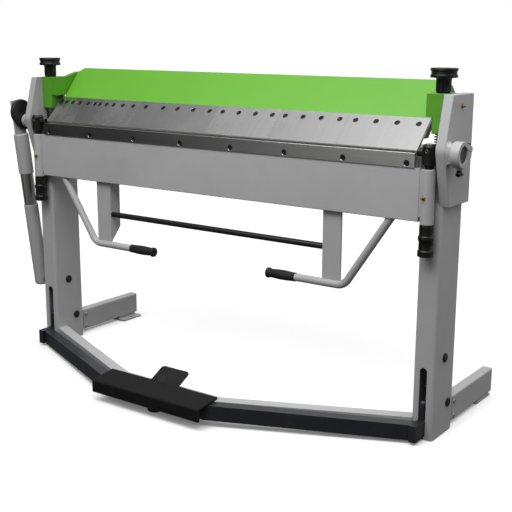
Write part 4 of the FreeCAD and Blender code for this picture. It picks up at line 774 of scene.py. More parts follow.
@dataclass
class FrameDress(SubAssembly):
    """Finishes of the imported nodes. Finer pieces made further down stand for some of them."""

    nodes: Mapping[str, bpy.types.Object]
    finishes: Mapping[Paintwork, tuple[str, ...]] = field(default_factory=lambda: {
        Paintwork.GREY: (
            "post_right", "post_left", "head_right", "head_left", "bed_girder", "tie_beam",
            "foot_right", "foot_left", "hub_collar", "leaf_plate", "leaf_sleeves", "handle_right",
            "handle_left", "handle_brackets", "strut_fork", "strut_tube", "strut_stud",
        ),
        Paintwork.CASTING_PAINTED_SHADE: ("casting_right", "casting_left"),
        Paintwork.COVER: ("cover",),
        Paintwork.BLACK: ("clamp_beam", "cross_rod"),
        Paintwork.CRANK: ("crank",),
        Paintwork.BLUE_BLACK: ("pedal_bar", "pedal_levers"),
        Paintwork.TREAD: ("tread",),
        Paintwork.GROUND: ("bed_blade",),
        Paintwork.RAIL: ("leaf_rail",),
        Paintwork.SPINDLE: ("spindles",),
        Paintwork.SPRING: ("clamp_springs",),
        Paintwork.OXIDE: ("cap_bolts", "rod_guides", "head_screws", "finger_screws", "rail_screws",
                          "pivot_blocks"),
        Paintwork.SHAFT: ("leaf_shafts",),
        Paintwork.ZINC: ("foot_bolts",),
        Paintwork.PLASTIC: ("top_knob_right", "top_knob_left", "leaf_knob_right", "leaf_knob_left"),
        Paintwork.RUBBER: ("tread_mat", "pedal_foot", "grips"),
        Paintwork.TUBE: ("strut_rod",),
    })
    finger_count: int = 13
    tone_swing: float = 0.035
    roughness_swing: float = 0.02

    def build(self) -> None:
        """Give every node its material."""
        for paintwork, names in self.finishes.items():
            for name in names:
                self.dress(name, paintwork.value)
        steel = Paintwork.FINGER.value
        for index in range(1, self.finger_count + 1):
            tone = 1 + self.tone_swing * math.sin(index * 2.4)
            colour: Colour = tuple(part * tone for part in steel.colour)
            rough = steel.roughness + self.roughness_swing * math.cos(index * 1.7)
            finish = replace(steel, name="finger_steel_%02d" % index, colour=colour, roughness=rough)
            self.dress("finger_%02d" % index, finish)

    def dress(self, name: str, finish: Finish) -> None:
        """Give one node the material of a finish."""
        node = self.nodes[name]
        material = self.shop.of(finish)
        if not node.material_slots:
            node.data.materials.append(material)
        for slot in node.material_slots:
            slot.material = material
        log.info("%s: %s", name, finish.name)


# Fasteners

SCREW_SEGMENTS = 36


@dataclass(frozen=True)
class SocketScrew:
    """A screw with a hexagon socket, in millimetres, made along +Z from under its head."""

    head_radius: float
    head_height: float
    across_flats: float
    socket_depth: float
    shank_radius: float
    shank_length: float
    dome: float = 0.0

    def rings(self) -> list[Ring]:
        """Its outline, from the end of the shank to the bottom of the socket."""
        rim = self.head_radius - 0.7 - self.dome * 1.4
        top = self.head_height
        key = self.across_flats / 2
        return [
            Ring(0, -self.shank_length), Ring(self.shank_radius - 0.6, -self.shank_length),
            Ring(self.shank_radius, -self.shank_length + 0.6), Ring(self.shank_radius, 0),
            Ring(self.head_radius - 0.3, 0), Ring(self.head_radius, 0.3),
            Ring(self.head_radius, top - 0.7 - self.dome), Ring(rim + 0.2, top - 0.12 - self.dome * 0.1),
            Ring(rim, top), Ring(key + 0.7, top), Ring(key, top - 0.45, Form.HEX),
            Ring(key, top - self.socket_depth, Form.HEX), Ring(0, top - self.socket_depth - 0.8),
        ]


@dataclass
class Fasteners(SubAssembly):
    """Socket screws of the fingers, the heads, the collar and the feet."""

    finger_widths: tuple[float, ...] = (25, 30, 35, 40, 45, 50, 75, 100, 150, 200, 250, 250, 270)
    finger_places: tuple[tuple[float, ...], ...] = (
        (12.5,), (15,), (17.5,), (20,), (22.5,), (12.5, 37.5), (20, 55), (25, 75), (35, 115),
        (30, 100, 170), (25, 91.7, 158.3, 225), (25, 91.7, 158.3, 225), (30, 100, 170, 240),
    )
    finger_top: tuple[float, float] = (84.0, 85.0)
    finger_share: float = 0.8
    finger_seat: float = 5.5
    head_screw: tuple[float, float] = (94.0, 809.0)
    collar_x: float = 889.5
    collar_bolt: tuple[float, float] = (43.0, 36.0)
    collar_tilt: float = 18.0
    lug_seat: tuple[float, float] = (5.5, -49.5)
    lug_aim: Point = (0.0, -11.0, -7.0)
    foot_bolt_y: float = 197.0
    foot_bolt_heights: tuple[float, float] = (24.0, 73.0)
    foot_inner: float = 793.0
    foot_width: float = 36.0

    def build(self) -> None:
        """Make the screws of every group."""
        self.finger_screws()
        self.head_screws()
        self.foot_bolts()

    def finger_screws(self) -> None:
        """Low-head screws in the fingers' counterbores."""
        depth, rise = self.finger_top
        length = math.hypot(depth, rise)
        out = (0.0, -rise / length, depth / length)
        screw = SocketScrew(8.7, 5.0, 7.0, 3.4, 5.0, 16.0)
        stock = Stock()
        start = -HALF_LENGTH
        count = 0
        for width, places in zip(self.finger_widths, self.finger_places):
            for place in places:
                y = depth * self.finger_share - out[1] * self.finger_seat
                z = CLAMP_Z + rise * self.finger_share - out[2] * self.finger_seat
                at = seat((start + place, y, z), out, 17.0 * count)
                stock.turn(screw.rings(), at, SCREW_SEGMENTS)
                count += 1
            start += width
        self.fit(stock, "finger_screws_socketed", Paintwork.OXIDE,
                 Fitting("clamp", "black_oxide", ("finger_screws",)))

    def head_screws(self) -> None:
        """Screws through the heads, the split collar's bolt and the screw in its lug."""
        stock = Stock()
        screw = SocketScrew(9.0, 6.0, 8.0, 3.8, 6.0, 36.0)
        y, z = self.head_screw
        for side in (-1, 1):
            at = seat((side * HEAD_OUTER, y, z), (side, 0, 0), 19.0 * side)
            stock.turn(screw.rings(), at, SCREW_SEGMENTS)
        y, rise = self.collar_bolt
        hinge = spot(0.0, 0.0, AXIS_Z)
        tilt = Matrix.Rotation(math.radians(-self.collar_tilt), 4, "X")
        tilt = Matrix.Translation(hinge) @ tilt @ Matrix.Translation(-hinge)
        bolt = SocketScrew(7.0, 7.0, 6.0, 4.0, 4.0, 30.0)
        at = tilt @ seat((self.collar_x, y, AXIS_Z + rise), (0, 0, 1), 8.0)
        stock.turn(bolt.rings(), at, SCREW_SEGMENTS)
        y, drop = self.lug_seat
        stop = SocketScrew(7.0, 13.0, 6.0, 4.0, 4.0, 20.0)
        at = seat((self.collar_x, y, AXIS_Z + drop), self.lug_aim, 31.0)
        stock.turn(stop.rings(), at, SCREW_SEGMENTS)
        self.fit(stock, "head_screws_socketed", Paintwork.OXIDE,
                 Fitting("frame", "black_oxide", ("head_screws",)))

    def foot_bolts(self) -> None:
        """Button-head bolts through the feet, with a head on both sides."""
        stock = Stock()
        for side in (-1, 1):
            for z in self.foot_bolt_heights:
                inner = (side * self.foot_inner, self.foot_bolt_y, z)
                outer = (side * (self.foot_inner + self.foot_width), self.foot_bolt_y, z)
                screw = SocketScrew(8.0, 3.0, 5.0, 1.8, 5.0, self.foot_width / 2, 0.9)
                stock.turn(screw.rings(), seat(outer, (side, 0, 0), 11.0), SCREW_SEGMENTS)
                stock.turn(screw.rings(), seat(inner, (-side, 0, 0), 41.0), SCREW_SEGMENTS)
        self.fit(stock, "foot_bolts_socketed", Paintwork.ZINC,
                 Fitting("frame", "zinc_plate", ("foot_bolts",)))


@dataclass
class GreaseNipples(SubAssembly):
    """Brass nipples on the leaf's sleeves and on the heads."""

    sleeve_z: float = 745.0
    sleeve_radius: float = 20.0
    sleeve_turn: float = 10.0
    head_place: tuple[float, float] = (78.0, 1000.0)

    def build(self) -> None:
        """Make the four nipples."""
        angle = math.radians(self.sleeve_turn)
        stock = Stock()
        for side in (-1, 1):
            aim = (-side * math.sin(angle), -math.cos(angle), 0.0)
            point = (side * SIDE_X + aim[0] * (self.sleeve_radius - 0.6),
                     SLEEVE_Y + aim[1] * (self.sleeve_radius - 0.6), self.sleeve_z)
            self.nipple(stock, point, aim)
        self.fit(stock, "sleeve_nipples", Paintwork.BRASS, Fitting("leaf", "black_oxide"))
        stock = Stock()
        y, z = self.head_place
        for side in (-1, 1):
            self.nipple(stock, (side * HEAD_OUTER, y, z), (side, 0.0, 0.0))
        self.fit(stock, "head_nipples", Paintwork.BRASS, Fitting("frame", "black_oxide"))

    @staticmethod
    def nipple(stock: Stock, point: Point, aim: Point) -> None:
        """Add one nipple: hexagon foot, neck and ball with its check hole."""
        stock.turn(
            [Ring(0, -1.5), Ring(5.6, -1.5, Form.HEX), Ring(5.6, 3.4, Form.HEX), Ring(4.9, 4.1),
             Ring(3.1, 4.6), Ring(2.6, 6.4), Ring(3.5, 7.4), Ring(4.1, 9.0), Ring(3.6, 10.6),
             Ring(2.2, 11.6), Ring(1.0, 11.6), Ring(0.7, 10.4), Ring(0, 10.4)],
            seat(point, aim), SCREW_SEGMENTS,
        )


@dataclass
class PivotBlocks(SubAssembly):
    """Blocks on the bending axis with their stems, set screws, bright caps and pin ends."""

    radius: float = 21.0
    above_axis: float = 24.5
    below_axis: float = 41.5
    chamfer: tuple[float, float] = (6.2, 6.7)
    stem_radius: float = 11.0
    stem_end: float = 603.3
    pin_radius: float = 12.5
    pin_out: float = 16.0
    neck: tuple[float, float] = (13.5, 8.5)
    screw_rise: float = 5.5
    screw_radius: float = 5.2

    def build(self) -> None:
        """Make both blocks, their screws and their caps."""
        blocks, screws, caps = Stock(), Stock(), Stock()
        inset, drop = self.chamfer
        neck, rise = self.neck
        foot = -self.below_axis
        for side in (-1, 1):
            at = seat((side * SIDE_X, SLEEVE_Y, AXIS_Z), (0, 0, 1))
            end = self.stem_end - AXIS_Z
            blocks.turn(
                [Ring(0, end), Ring(self.stem_radius - 2, end), Ring(self.stem_radius, end + 2),
                 Ring(self.stem_radius, foot), Ring(neck - 0.6, foot), Ring(neck, foot + 0.6),
                 Ring(neck, foot + rise - 1.0), Ring(neck + 1.0, foot + rise),
                 Ring(self.radius - 1.4, foot + rise), Ring(self.radius, foot + rise + 1.4),
                 Ring(self.radius, self.above_axis - drop),
                 Ring(self.radius - inset * 0.45, self.above_axis - drop * 0.42),
                 Ring(self.radius - inset, self.above_axis), Ring(0, self.above_axis)], at, 72,
            )
            inner = SIDE_X - self.radius - self.pin_out
            blocks.turn(
                [Ring(0, 0), Ring(self.pin_radius - 1.2, 0), Ring(self.pin_radius, 1.2),
                 Ring(self.pin_radius, self.pin_out + 8), Ring(0, self.pin_out + 8)],
                seat((side * inner, 0, AXIS_Z), (side, 0, 0)), 40,
            )
            face = (side * SIDE_X, SLEEVE_Y - self.radius + 2.0, AXIS_Z + self.screw_rise)
            rim = self.screw_radius
            screws.turn(
                [Ring(0, -4), Ring(rim, -4), Ring(rim, 2.2), Ring(rim - 0.5, 2.7), Ring(rim - 1.5, 2.7),
                 Ring(rim - 2.2, 1.9), Ring(2.5, 1.8, Form.HEX), Ring(2.5, -1.6, Form.HEX),
                 Ring(0, -2.2)], seat(face, (0, -1, 0), 9.0), SCREW_SEGMENTS,
            )
            rim = self.radius - inset - 0.6
            caps.turn([Ring(0, -0.4), Ring(rim, -0.4), Ring(rim, 0.25), Ring(rim - 0.5, 0.6),
                       Ring(5.0, 0.6), Ring(4.4, 0.2), Ring(0, 0.2)],
                      seat((side * SIDE_X, SLEEVE_Y, AXIS_Z + self.above_axis), (0, 0, 1)), 64)
        self.fit(blocks, "pivot_blocks_turned", Paintwork.OXIDE,
                 Fitting("pivots", "black_oxide", ("pivot_blocks",)))
        self.fit(screws, "pivot_set_screws", Paintwork.SPINDLE, Fitting("pivots", "ground_steel"))
        self.fit(caps, "pivot_caps", Paintwork.GROUND, Fitting("pivots", "ground_steel"))


@dataclass
class Crank(SubAssembly):
    """Crank on the left shaft with chamfered edges, and the pin that pulls the strut."""

    start: float = 876.0
    thickness: float = 13.0
    hub_radius: float = 35.0
    end_radius: float = 47.0
    end_y: float = -15.0
    chamfer: float = 1.6

    def build(self) -> None:
        """Make the crank with its pin."""
        stock = Stock()
        end = self.start + self.thickness
        loops = []
        for x, inset in ((self.start, self.chamfer), (self.start + self.chamfer, 0.0),
                         (end - self.chamfer, 0.0), (end, self.chamfer)):
            loops.append([spot(-x, y, z) for y, z in self.outline(inset)])
        stock.loft(loops)
        pin_y, pin_z = CRANK_PIN
        stock.turn(
            [Ring(0, 0), Ring(8, 0), Ring(8, 12.5), Ring(12.4, 12.5), Ring(13, 13.1), Ring(13, 15.6),
             Ring(10.5, 17.6), Ring(6, 18), Ring(0, 18)],
            seat((-end + 0.5, pin_y, pin_z), (-1, 0, 0)), 40,
        )
        self.fit(stock, "crank_chamfered", Paintwork.CRANK,
                 Fitting("pivots", "black_paint", ("crank",)))

    def outline(self, inset: float) -> list[tuple[float, float]]:
        """Line round the hub and the wide end, drawn in by an inset."""
        rise = CRANK_PIN[1] - AXIS_Z
        length = math.hypot(self.end_y, rise)
        aim = math.degrees(math.atan2(rise, self.end_y))
        lean = math.degrees(math.acos((self.hub_radius - self.end_radius) / length))
        points = arc((self.end_y, CRANK_PIN[1]), self.end_radius - inset, aim - lean, aim + lean, 40)
        return points + arc((0.0, AXIS_Z), self.hub_radius - inset, aim + lean, aim - lean + 360, 24)


@dataclass
class StrutStud(SubAssembly):
    """Welded boss on the left post, with a washer that stops just short of the strut's foot."""

    boss_radius: float = 14.0
    boss_length: float = 23.0
    neck_radius: float = 8.0
    washer_radius: float = 19.0
    washer: tuple[float, float] = (25.2, 27.2)

    def build(self) -> None:
        """Make the boss and its washer in one; the pin that reaches into the tube isn't shown."""
        stock = Stock()
        length = self.boss_length
        stock.turn(
            [Ring(0, 0), Ring(self.boss_radius, 0), Ring(self.boss_radius, length - 1.5),
             Ring(self.boss_radius - 1.5, length), Ring(self.neck_radius, length),
             Ring(self.neck_radius, self.washer[0]), Ring(self.washer_radius - 0.5, self.washer[0]),
             Ring(self.washer_radius, self.washer[0] + 0.5), Ring(self.washer_radius, self.washer[1]),
             Ring(0, self.washer[1])],
            seat((-POST_OUTER, *STRUT_FOOT), (-1, 0, 0)), 48,
        )
        self.fit(stock, "strut_stud_welded", Paintwork.GREY,
                 Fitting("frame", "grey_paint", ("strut_stud",)))


@dataclass
class StrutTube(SubAssembly):
    """Lower tube of the strut, closed all round and rounded off at its foot."""

    outer: float = 27.0
    bore: float = 24.55
    mouth: float = 361.0
    tail: float = 37.0
    floor: float = 4.0
    foot_round: float = 9.5

    def build(self) -> None:
        """Make the tube along the line from the crank's pin to the stud."""
        line = Vector((0.0, STRUT_FOOT[0] - CRANK_PIN[0], STRUT_FOOT[1] - CRANK_PIN[1]))
        end = line.length + self.tail
        middle = (self.outer - self.foot_round, end - self.foot_round)
        foot = [Ring(radius, along) for radius, along in arc(middle, self.foot_round, 0, 90, 9)]
        stock = Stock()
        stock.turn(
            [Ring(0, end - self.floor), Ring(self.bore, end - self.floor), Ring(self.bore, self.mouth),
             Ring(self.outer - 1, self.mouth), Ring(self.outer, self.mouth + 1), *foot, Ring(0, end)],
            seat((-STRUT_X, *CRANK_PIN), tuple(line)), 72,
        )
        self.fit(stock, "strut_tube_closed", Paintwork.GREY,
                 Fitting("strut_lower", "grey_paint", ("strut_tube",)))


# Bending leaf


@dataclass
class Leaf(SubAssembly):
    """The leaf's plate with its ears, the ground rail and the rail's screws."""

    half: float = HALF_LENGTH
    overhang: float = 16.0
    ear_reach: float = 790.0
    flat: float = 2.0
    screw_pitch: float = 210.0
    screw_count: int = 8
    screw_z: float = 838.0
    bore: float = 9.0
    bore_depth: float = 8.0

    def build(self) -> None:
        """Make the plate, the rail and the screws."""
        self.plate()
        self.rail()
        self.screws()

    def places(self) -> list[float]:
        """Where the screws stand along the rail."""
        first = -self.screw_pitch * (self.screw_count - 1) / 2
        return [first + self.screw_pitch * index for index in range(self.screw_count)]

    def plate(self) -> None:
        """Plate rebated for the rail, lower beyond the rail's ends, with an ear to each sleeve."""
        bevel = LEAF_BACK - self.flat
        low = [(LEAF_BACK, LEAF_BOTTOM + 2), (LEAF_BACK - 0.6, LEAF_BOTTOM + 0.6),
               (LEAF_BACK - 2, LEAF_BOTTOM), (LEAF_FRONT + 2, LEAF_BOTTOM),
               (LEAF_FRONT + 0.6, LEAF_BOTTOM + 0.6), (LEAF_FRONT, LEAF_BOTTOM + 2),
               (LEAF_FRONT, RAIL_BOTTOM)]
        full = low + [(RAIL_BACK, RAIL_BOTTOM), (RAIL_BACK, LEAF_TOP), (self.flat, LEAF_TOP),
                      (LEAF_BACK, LEAF_TOP - bevel)]
        ends = low + [(RAIL_BACK, RAIL_BOTTOM), (RAIL_BACK + 0.01, RAIL_BOTTOM),
                      (self.flat, RAIL_BOTTOM), (LEAF_BACK, RAIL_BOTTOM)]
        reach = self.half + self.overhang
        stations = ((-reach, ends), (-self.half, ends), (-self.half, full), (self.half, full),
                    (self.half, ends), (reach, ends))
        stock = Stock()
        stock.loft([[spot(x, y, z) for y, z in outline] for x, outline in stations])
        bottom, top = LEAF_BOTTOM + 12, RAIL_BOTTOM - 2
        for side in (-1, 1):
            ear = [(side * (reach - 1), bottom), (side * self.ear_reach, bottom + 10),
                   (side * self.ear_reach, top - 6), (side * (reach - 1), top)]
            stock.prism(ear, lambda x, z, y: spot(x, y, z), LEAF_FRONT + 1, LEAF_BACK - 3)
        self.fit(stock, "leaf_plate_welded", Paintwork.GREY,
                 Fitting("leaf", "grey_paint", ("leaf_plate",)), 12.0)

    def rail(self) -> None:
        """Ground rail whose front face is drilled and counterbored for the screws."""
        outline = [(RAIL_FRONT, RAIL_BOTTOM + 1.0), (RAIL_FRONT, LEAF_TOP - 1.5)]
        outline += arc((RAIL_FRONT + 1.5, LEAF_TOP - 1.5), 1.5, 180, 90, 4)[1:]
        outline += [(RAIL_BACK, LEAF_TOP), (RAIL_BACK, RAIL_BOTTOM)]
        outline += arc((RAIL_FRONT + 1.0, RAIL_BOTTOM + 1.0), 1.0, 270, 180, 3)[:-1]
        stock = Stock()
        stations = [-self.half]
        for x in self.places():
            stations += [x - self.bore - 3, x, x + self.bore + 3]
        stations.append(self.half)
        count = len(outline)
        for x in stations:
            stock.points.extend(spot(x, y, z) for y, z in outline)
        for step in range(len(stations) - 1):
            near, far = step * count, (step + 1) * count
            for index in range(count):
                after = (index + 1) % count
                if index == 0 and step % 3 != 0:
                    continue
                stock.faces.append((near + index, near + after, far + after, far + index))
        last = (len(stations) - 1) * count
        stock.faces.append(tuple(reversed(range(count))))
        stock.faces.append(tuple(range(last, last + count)))
        for number, x in enumerate(self.places()):
            self.counterbore(stock, x, (3 * number + 1) * count, count)
        self.fit(stock, "leaf_rail_drilled", Paintwork.RAIL,
                 Fitting("leaf", "ground_steel", ("leaf_rail",)), 12.0)

    def counterbore(self, stock: Stock, x: float, start: int, count: int) -> None:
        """Add one counterbore and the two half faces round its mouth.

        Args:
            stock: the rail being made.
            x: the counterbore's middle.
            start: number of the first point of the station at its left.
            count: points of a station; the first two are the front face's lower and upper edge.
        """
        steps = 40
        rims: list[list[int]] = []
        for radius, depth in ((self.bore + 0.5, 0.0), (self.bore, 0.5), (self.bore, self.bore_depth)):
            first = len(stock.points)
            for index in range(steps):
                angle = 2 * math.pi * index / steps - math.pi / 2
                stock.points.append(spot(x + radius * math.cos(angle), RAIL_FRONT + depth,
                                         self.screw_z + radius * math.sin(angle)))
            rims.append(list(range(first, first + steps)))
        for near, far in zip(rims, rims[1:]):
            stock.bridge(near, far)
        stock.faces.append(tuple(rims[-1]))
        mouth = rims[0]
        left, middle, right = start, start + count, start + 2 * count
        stock.faces.append((middle, *mouth[:steps // 2 + 1], middle + 1, right + 1, right))
        stock.faces.append((left, left + 1, middle + 1, *mouth[steps // 2:], mouth[0], middle))

    def screws(self) -> None:
        """Cap screws in the counterbores."""
        screw = SocketScrew(self.bore - 0.8, 6.6, 7.0, 4.4, 4.4, 13.0)
        stock = Stock()
        for index, x in enumerate(self.places()):
            at = seat((x, RAIL_FRONT + self.bore_depth, self.screw_z), (0, -1, 0), 23.0 * index)
            stock.turn(screw.rings(), at, SCREW_SEGMENTS)
        self.fit(stock, "rail_screws_socketed", Paintwork.OXIDE,
                 Fitting("leaf", "black_oxide", ("rail_screws",)))


@dataclass
class Welds(SubAssembly):
    """Painted weld beads where the fabricated parts meet."""

    sleeve_lines: tuple[tuple[float, float], ...] = ((782.0, -9.4), (791.6, 12.9))
    sleeve_span: tuple[float, float] = (697.0, 812.0)
    bracket: tuple[float, float] = (451.0, 515.0)
    bracket_y: float = 4.6
    handle_top: tuple[float, float] = (682.5, 6.0)
    handle_radius: float = 13.3
    handle_slant: float = 1.2
    tie_span: tuple[float, float, float, float] = (22.0, 66.6, 16.0, 62.2)
    stud_ring: float = 14.6
    leaf_bead: float = 1.9
    tie_bead: float = 2.1
    stud_bead: float = 1.8

    def build(self) -> None:
        """Make the leaf's beads and the frame's."""
        leaf = Stock()
        low, high = self.sleeve_span
        for side in (-1, 1):
            for x, y in self.sleeve_lines:
                leaf.bead([(side * x, y, low), (side * x, y, high)], self.leaf_bead)
            line = [(side * x, self.bracket_y, LEAF_BOTTOM - 0.3) for x in self.bracket]
            leaf.bead(line, self.leaf_bead)
            x, y = self.handle_top
            ring = []
            for u, v in arc((0.0, 0.0), self.handle_radius, 145, 395, 24):
                ring.append((side * (x + u * self.handle_slant), y + v, LEAF_BOTTOM - 0.2))
            leaf.bead(ring, self.leaf_bead)
        self.fit(leaf, "leaf_welds", Paintwork.GREY, Fitting("leaf", "grey_paint"))
        frame = Stock()
        front, rear, low, high = self.tie_span
        for side in (-1, 1):
            x = side * (POST_INNER - 0.6)
            line = [(x, front, low), (x, front, high), (x, rear, high), (x, rear, low)]
            frame.bead(line, self.tie_bead)
            if side < 0:
                points = arc(STRUT_FOOT, self.stud_ring, 0, 350, 24)
                frame.bead([(-POST_OUTER - 0.4, y, z) for y, z in points], self.stud_bead)
        self.fit(frame, "frame_welds", Paintwork.GREY, Fitting("frame", "grey_paint"))


# Hand parts


@dataclass
class Knobs(SubAssembly):
    """Hand knobs on the spindles and under the leaf's sleeves."""

    top_radius: float = 39.0
    neck_radius: float = 22.0
    leaf_radius: float = 20.5
    leaf_length: float = 92.7

    def build(self) -> None:
        """Make the four knobs."""
        for name, side in (("right", 1), ("left", -1)):
            stock = Stock()
            stock.turn(self.top_rings(), seat((side * SIDE_X, SPINDLE_Y, CASTING_TOP + 0.3), (0, 0, 1)),
                       144, Ribs(12, 0.9, 0.35))
            self.fit(stock, "top_knob_%s_fluted" % name, Paintwork.PLASTIC,
                     Fitting("clamp_knob_" + name, "black_plastic", ("top_knob_" + name,)))
            stock = Stock()
            bottom = SLEEVE_BOTTOM - 0.3 - self.leaf_length
            stock.turn(self.leaf_rings(), seat((side * SIDE_X, SLEEVE_Y, bottom), (0, 0, 1)),
                       180, Ribs(30, 0.7, 0.45))
            self.fit(stock, "leaf_knob_%s_ribbed" % name, Paintwork.PLASTIC,
                     Fitting("leaf_knob_" + name, "black_plastic", ("leaf_knob_" + name,)))

    def top_rings(self) -> list[Ring]:
        """Outline of a top knob: fluted neck, two rims with a ridged band between, flat top."""
        neck, wide = self.neck_radius, self.top_radius
        disc = 42.7
        return [
            Ring(14.3, 0), Ring(neck - 3.4, 0), Ring(neck - 2.6, 0.6), Ring(neck - 0.4, 4.2),
            Ring(neck, 5.4, Form.RIBBED), Ring(neck, disc - 4, Form.RIBBED), Ring(neck + 0.6, disc - 2.6),
            Ring(neck + 2.6, disc - 0.5), Ring(neck + 4.0, disc), Ring(wide - 1.6, disc),
            Ring(wide - 0.4, disc + 0.5), Ring(wide, disc + 1.6), Ring(wide, disc + 7.4),
            Ring(wide - 0.7, disc + 8.6), Ring(wide - 2.6, disc + 9.2), Ring(wide - 2.8, disc + 9.6),
            Ring(wide - 2.8, disc + 12.6), Ring(wide - 2.1, disc + 13.2), Ring(wide - 2.1, disc + 13.8),
            Ring(wide - 2.8, disc + 14.4), Ring(wide - 2.8, disc + 17.6), Ring(wide - 2.5, disc + 18.0),
            Ring(wide - 0.6, disc + 18.3), Ring(wide, disc + 18.9), Ring(wide, disc + 25.8),
            Ring(wide - 0.4, disc + 26.7), Ring(wide - 1.4, disc + 27.0), Ring(wide - 5.0, disc + 27.0),
            Ring(wide - 6.0, disc + 26.7), Ring(0, disc + 26.7),
        ]

    def leaf_rings(self) -> list[Ring]:
        """Outline of a leaf knob: ribbed barrel between smooth bands, wider at ring and foot."""
        slim = self.leaf_radius
        wide = slim + 2.5
        top = self.leaf_length
        return [
            Ring(0, 0), Ring(wide - 2.4, 0), Ring(wide - 0.7, 0.7), Ring(wide, 2.4),
            Ring(wide, 4.0, Form.RIBBED), Ring(wide, 15.0, Form.RIBBED), Ring(wide, 16.6),
            Ring(slim + 0.6, 18.6), Ring(slim, 19.6), Ring(slim, 45.2), Ring(slim + 0.6, 46.2),
            Ring(wide - 0.3, 47.6), Ring(wide, 48.6), Ring(wide, 58.2), Ring(wide - 0.3, 59.2),
            Ring(slim + 0.6, 60.6), Ring(slim, 61.6), Ring(slim, 64.0, Form.RIBBED),
            Ring(slim, 84.0, Form.RIBBED), Ring(slim, top - 5.4), Ring(slim - 0.8, top - 5.0),
            Ring(slim - 0.8, top - 4.2), Ring(slim, top - 3.8), Ring(slim, top - 2.8),
            Ring(slim - 0.6, top - 0.8), Ring(slim - 2.2, top), Ring(11.3, top),
        ]


@dataclass
class Grips(SubAssembly):
    """Barrel-shaped rubber grips with lengthwise ribs and a flanged end with its vent hole."""

    handle_y: float = 6.0
    handle_z: float = 441.5
    inner_x: float = 243.0
    outer_x: float = 352.0
    radius: float = 15.0

    def build(self) -> None:
        """Make the two grips as one piece."""
        stock = Stock()
        for side in (-1, 1):
            at = seat((side * self.inner_x, self.handle_y, self.handle_z), (side, 0, 0))
            stock.turn(self.rings(), at, 160, Ribs(16, 0.8, 0.35))
        self.fit(stock, "grips_ribbed", Paintwork.RUBBER, Fitting("leaf", "black_rubber", ("grips",)))

    def rings(self) -> list[Ring]:
        """Outline of a grip from the bottom of its vent hole to the open end."""
        length = self.outer_x - self.inner_x
        end = self.radius + 2.0
        rings = [
            Ring(0, 7.0), Ring(4.6, 7.0), Ring(4.6, 1.2), Ring(5.4, 0.3), Ring(end - 3.2, 0),
            Ring(end - 1.0, 0.8), Ring(end, 3.0), Ring(end, 8.0), Ring(end - 0.8, 10.0),
            Ring(end - 2.6, 12.0), Ring(self.radius - 0.7, 14.0),
        ]
        steps = 14
        for index in range(steps + 1):
            share = index / steps
            swell = 1.9 * math.sin(math.pi * share) - 0.7
            rings.append(Ring(self.radius + swell, 18.0 + share * (length - 27.0), Form.RIBBED))
        rings += [
            Ring(self.radius - 0.7, length - 6.0), Ring(self.radius - 0.2, length - 4.5),
            Ring(self.radius - 0.2, length - 1.0), Ring(self.radius - 1.0, length),
            Ring(12.6, length), Ring(12.6, length - 6.0),
        ]
        return rings


# Pedal


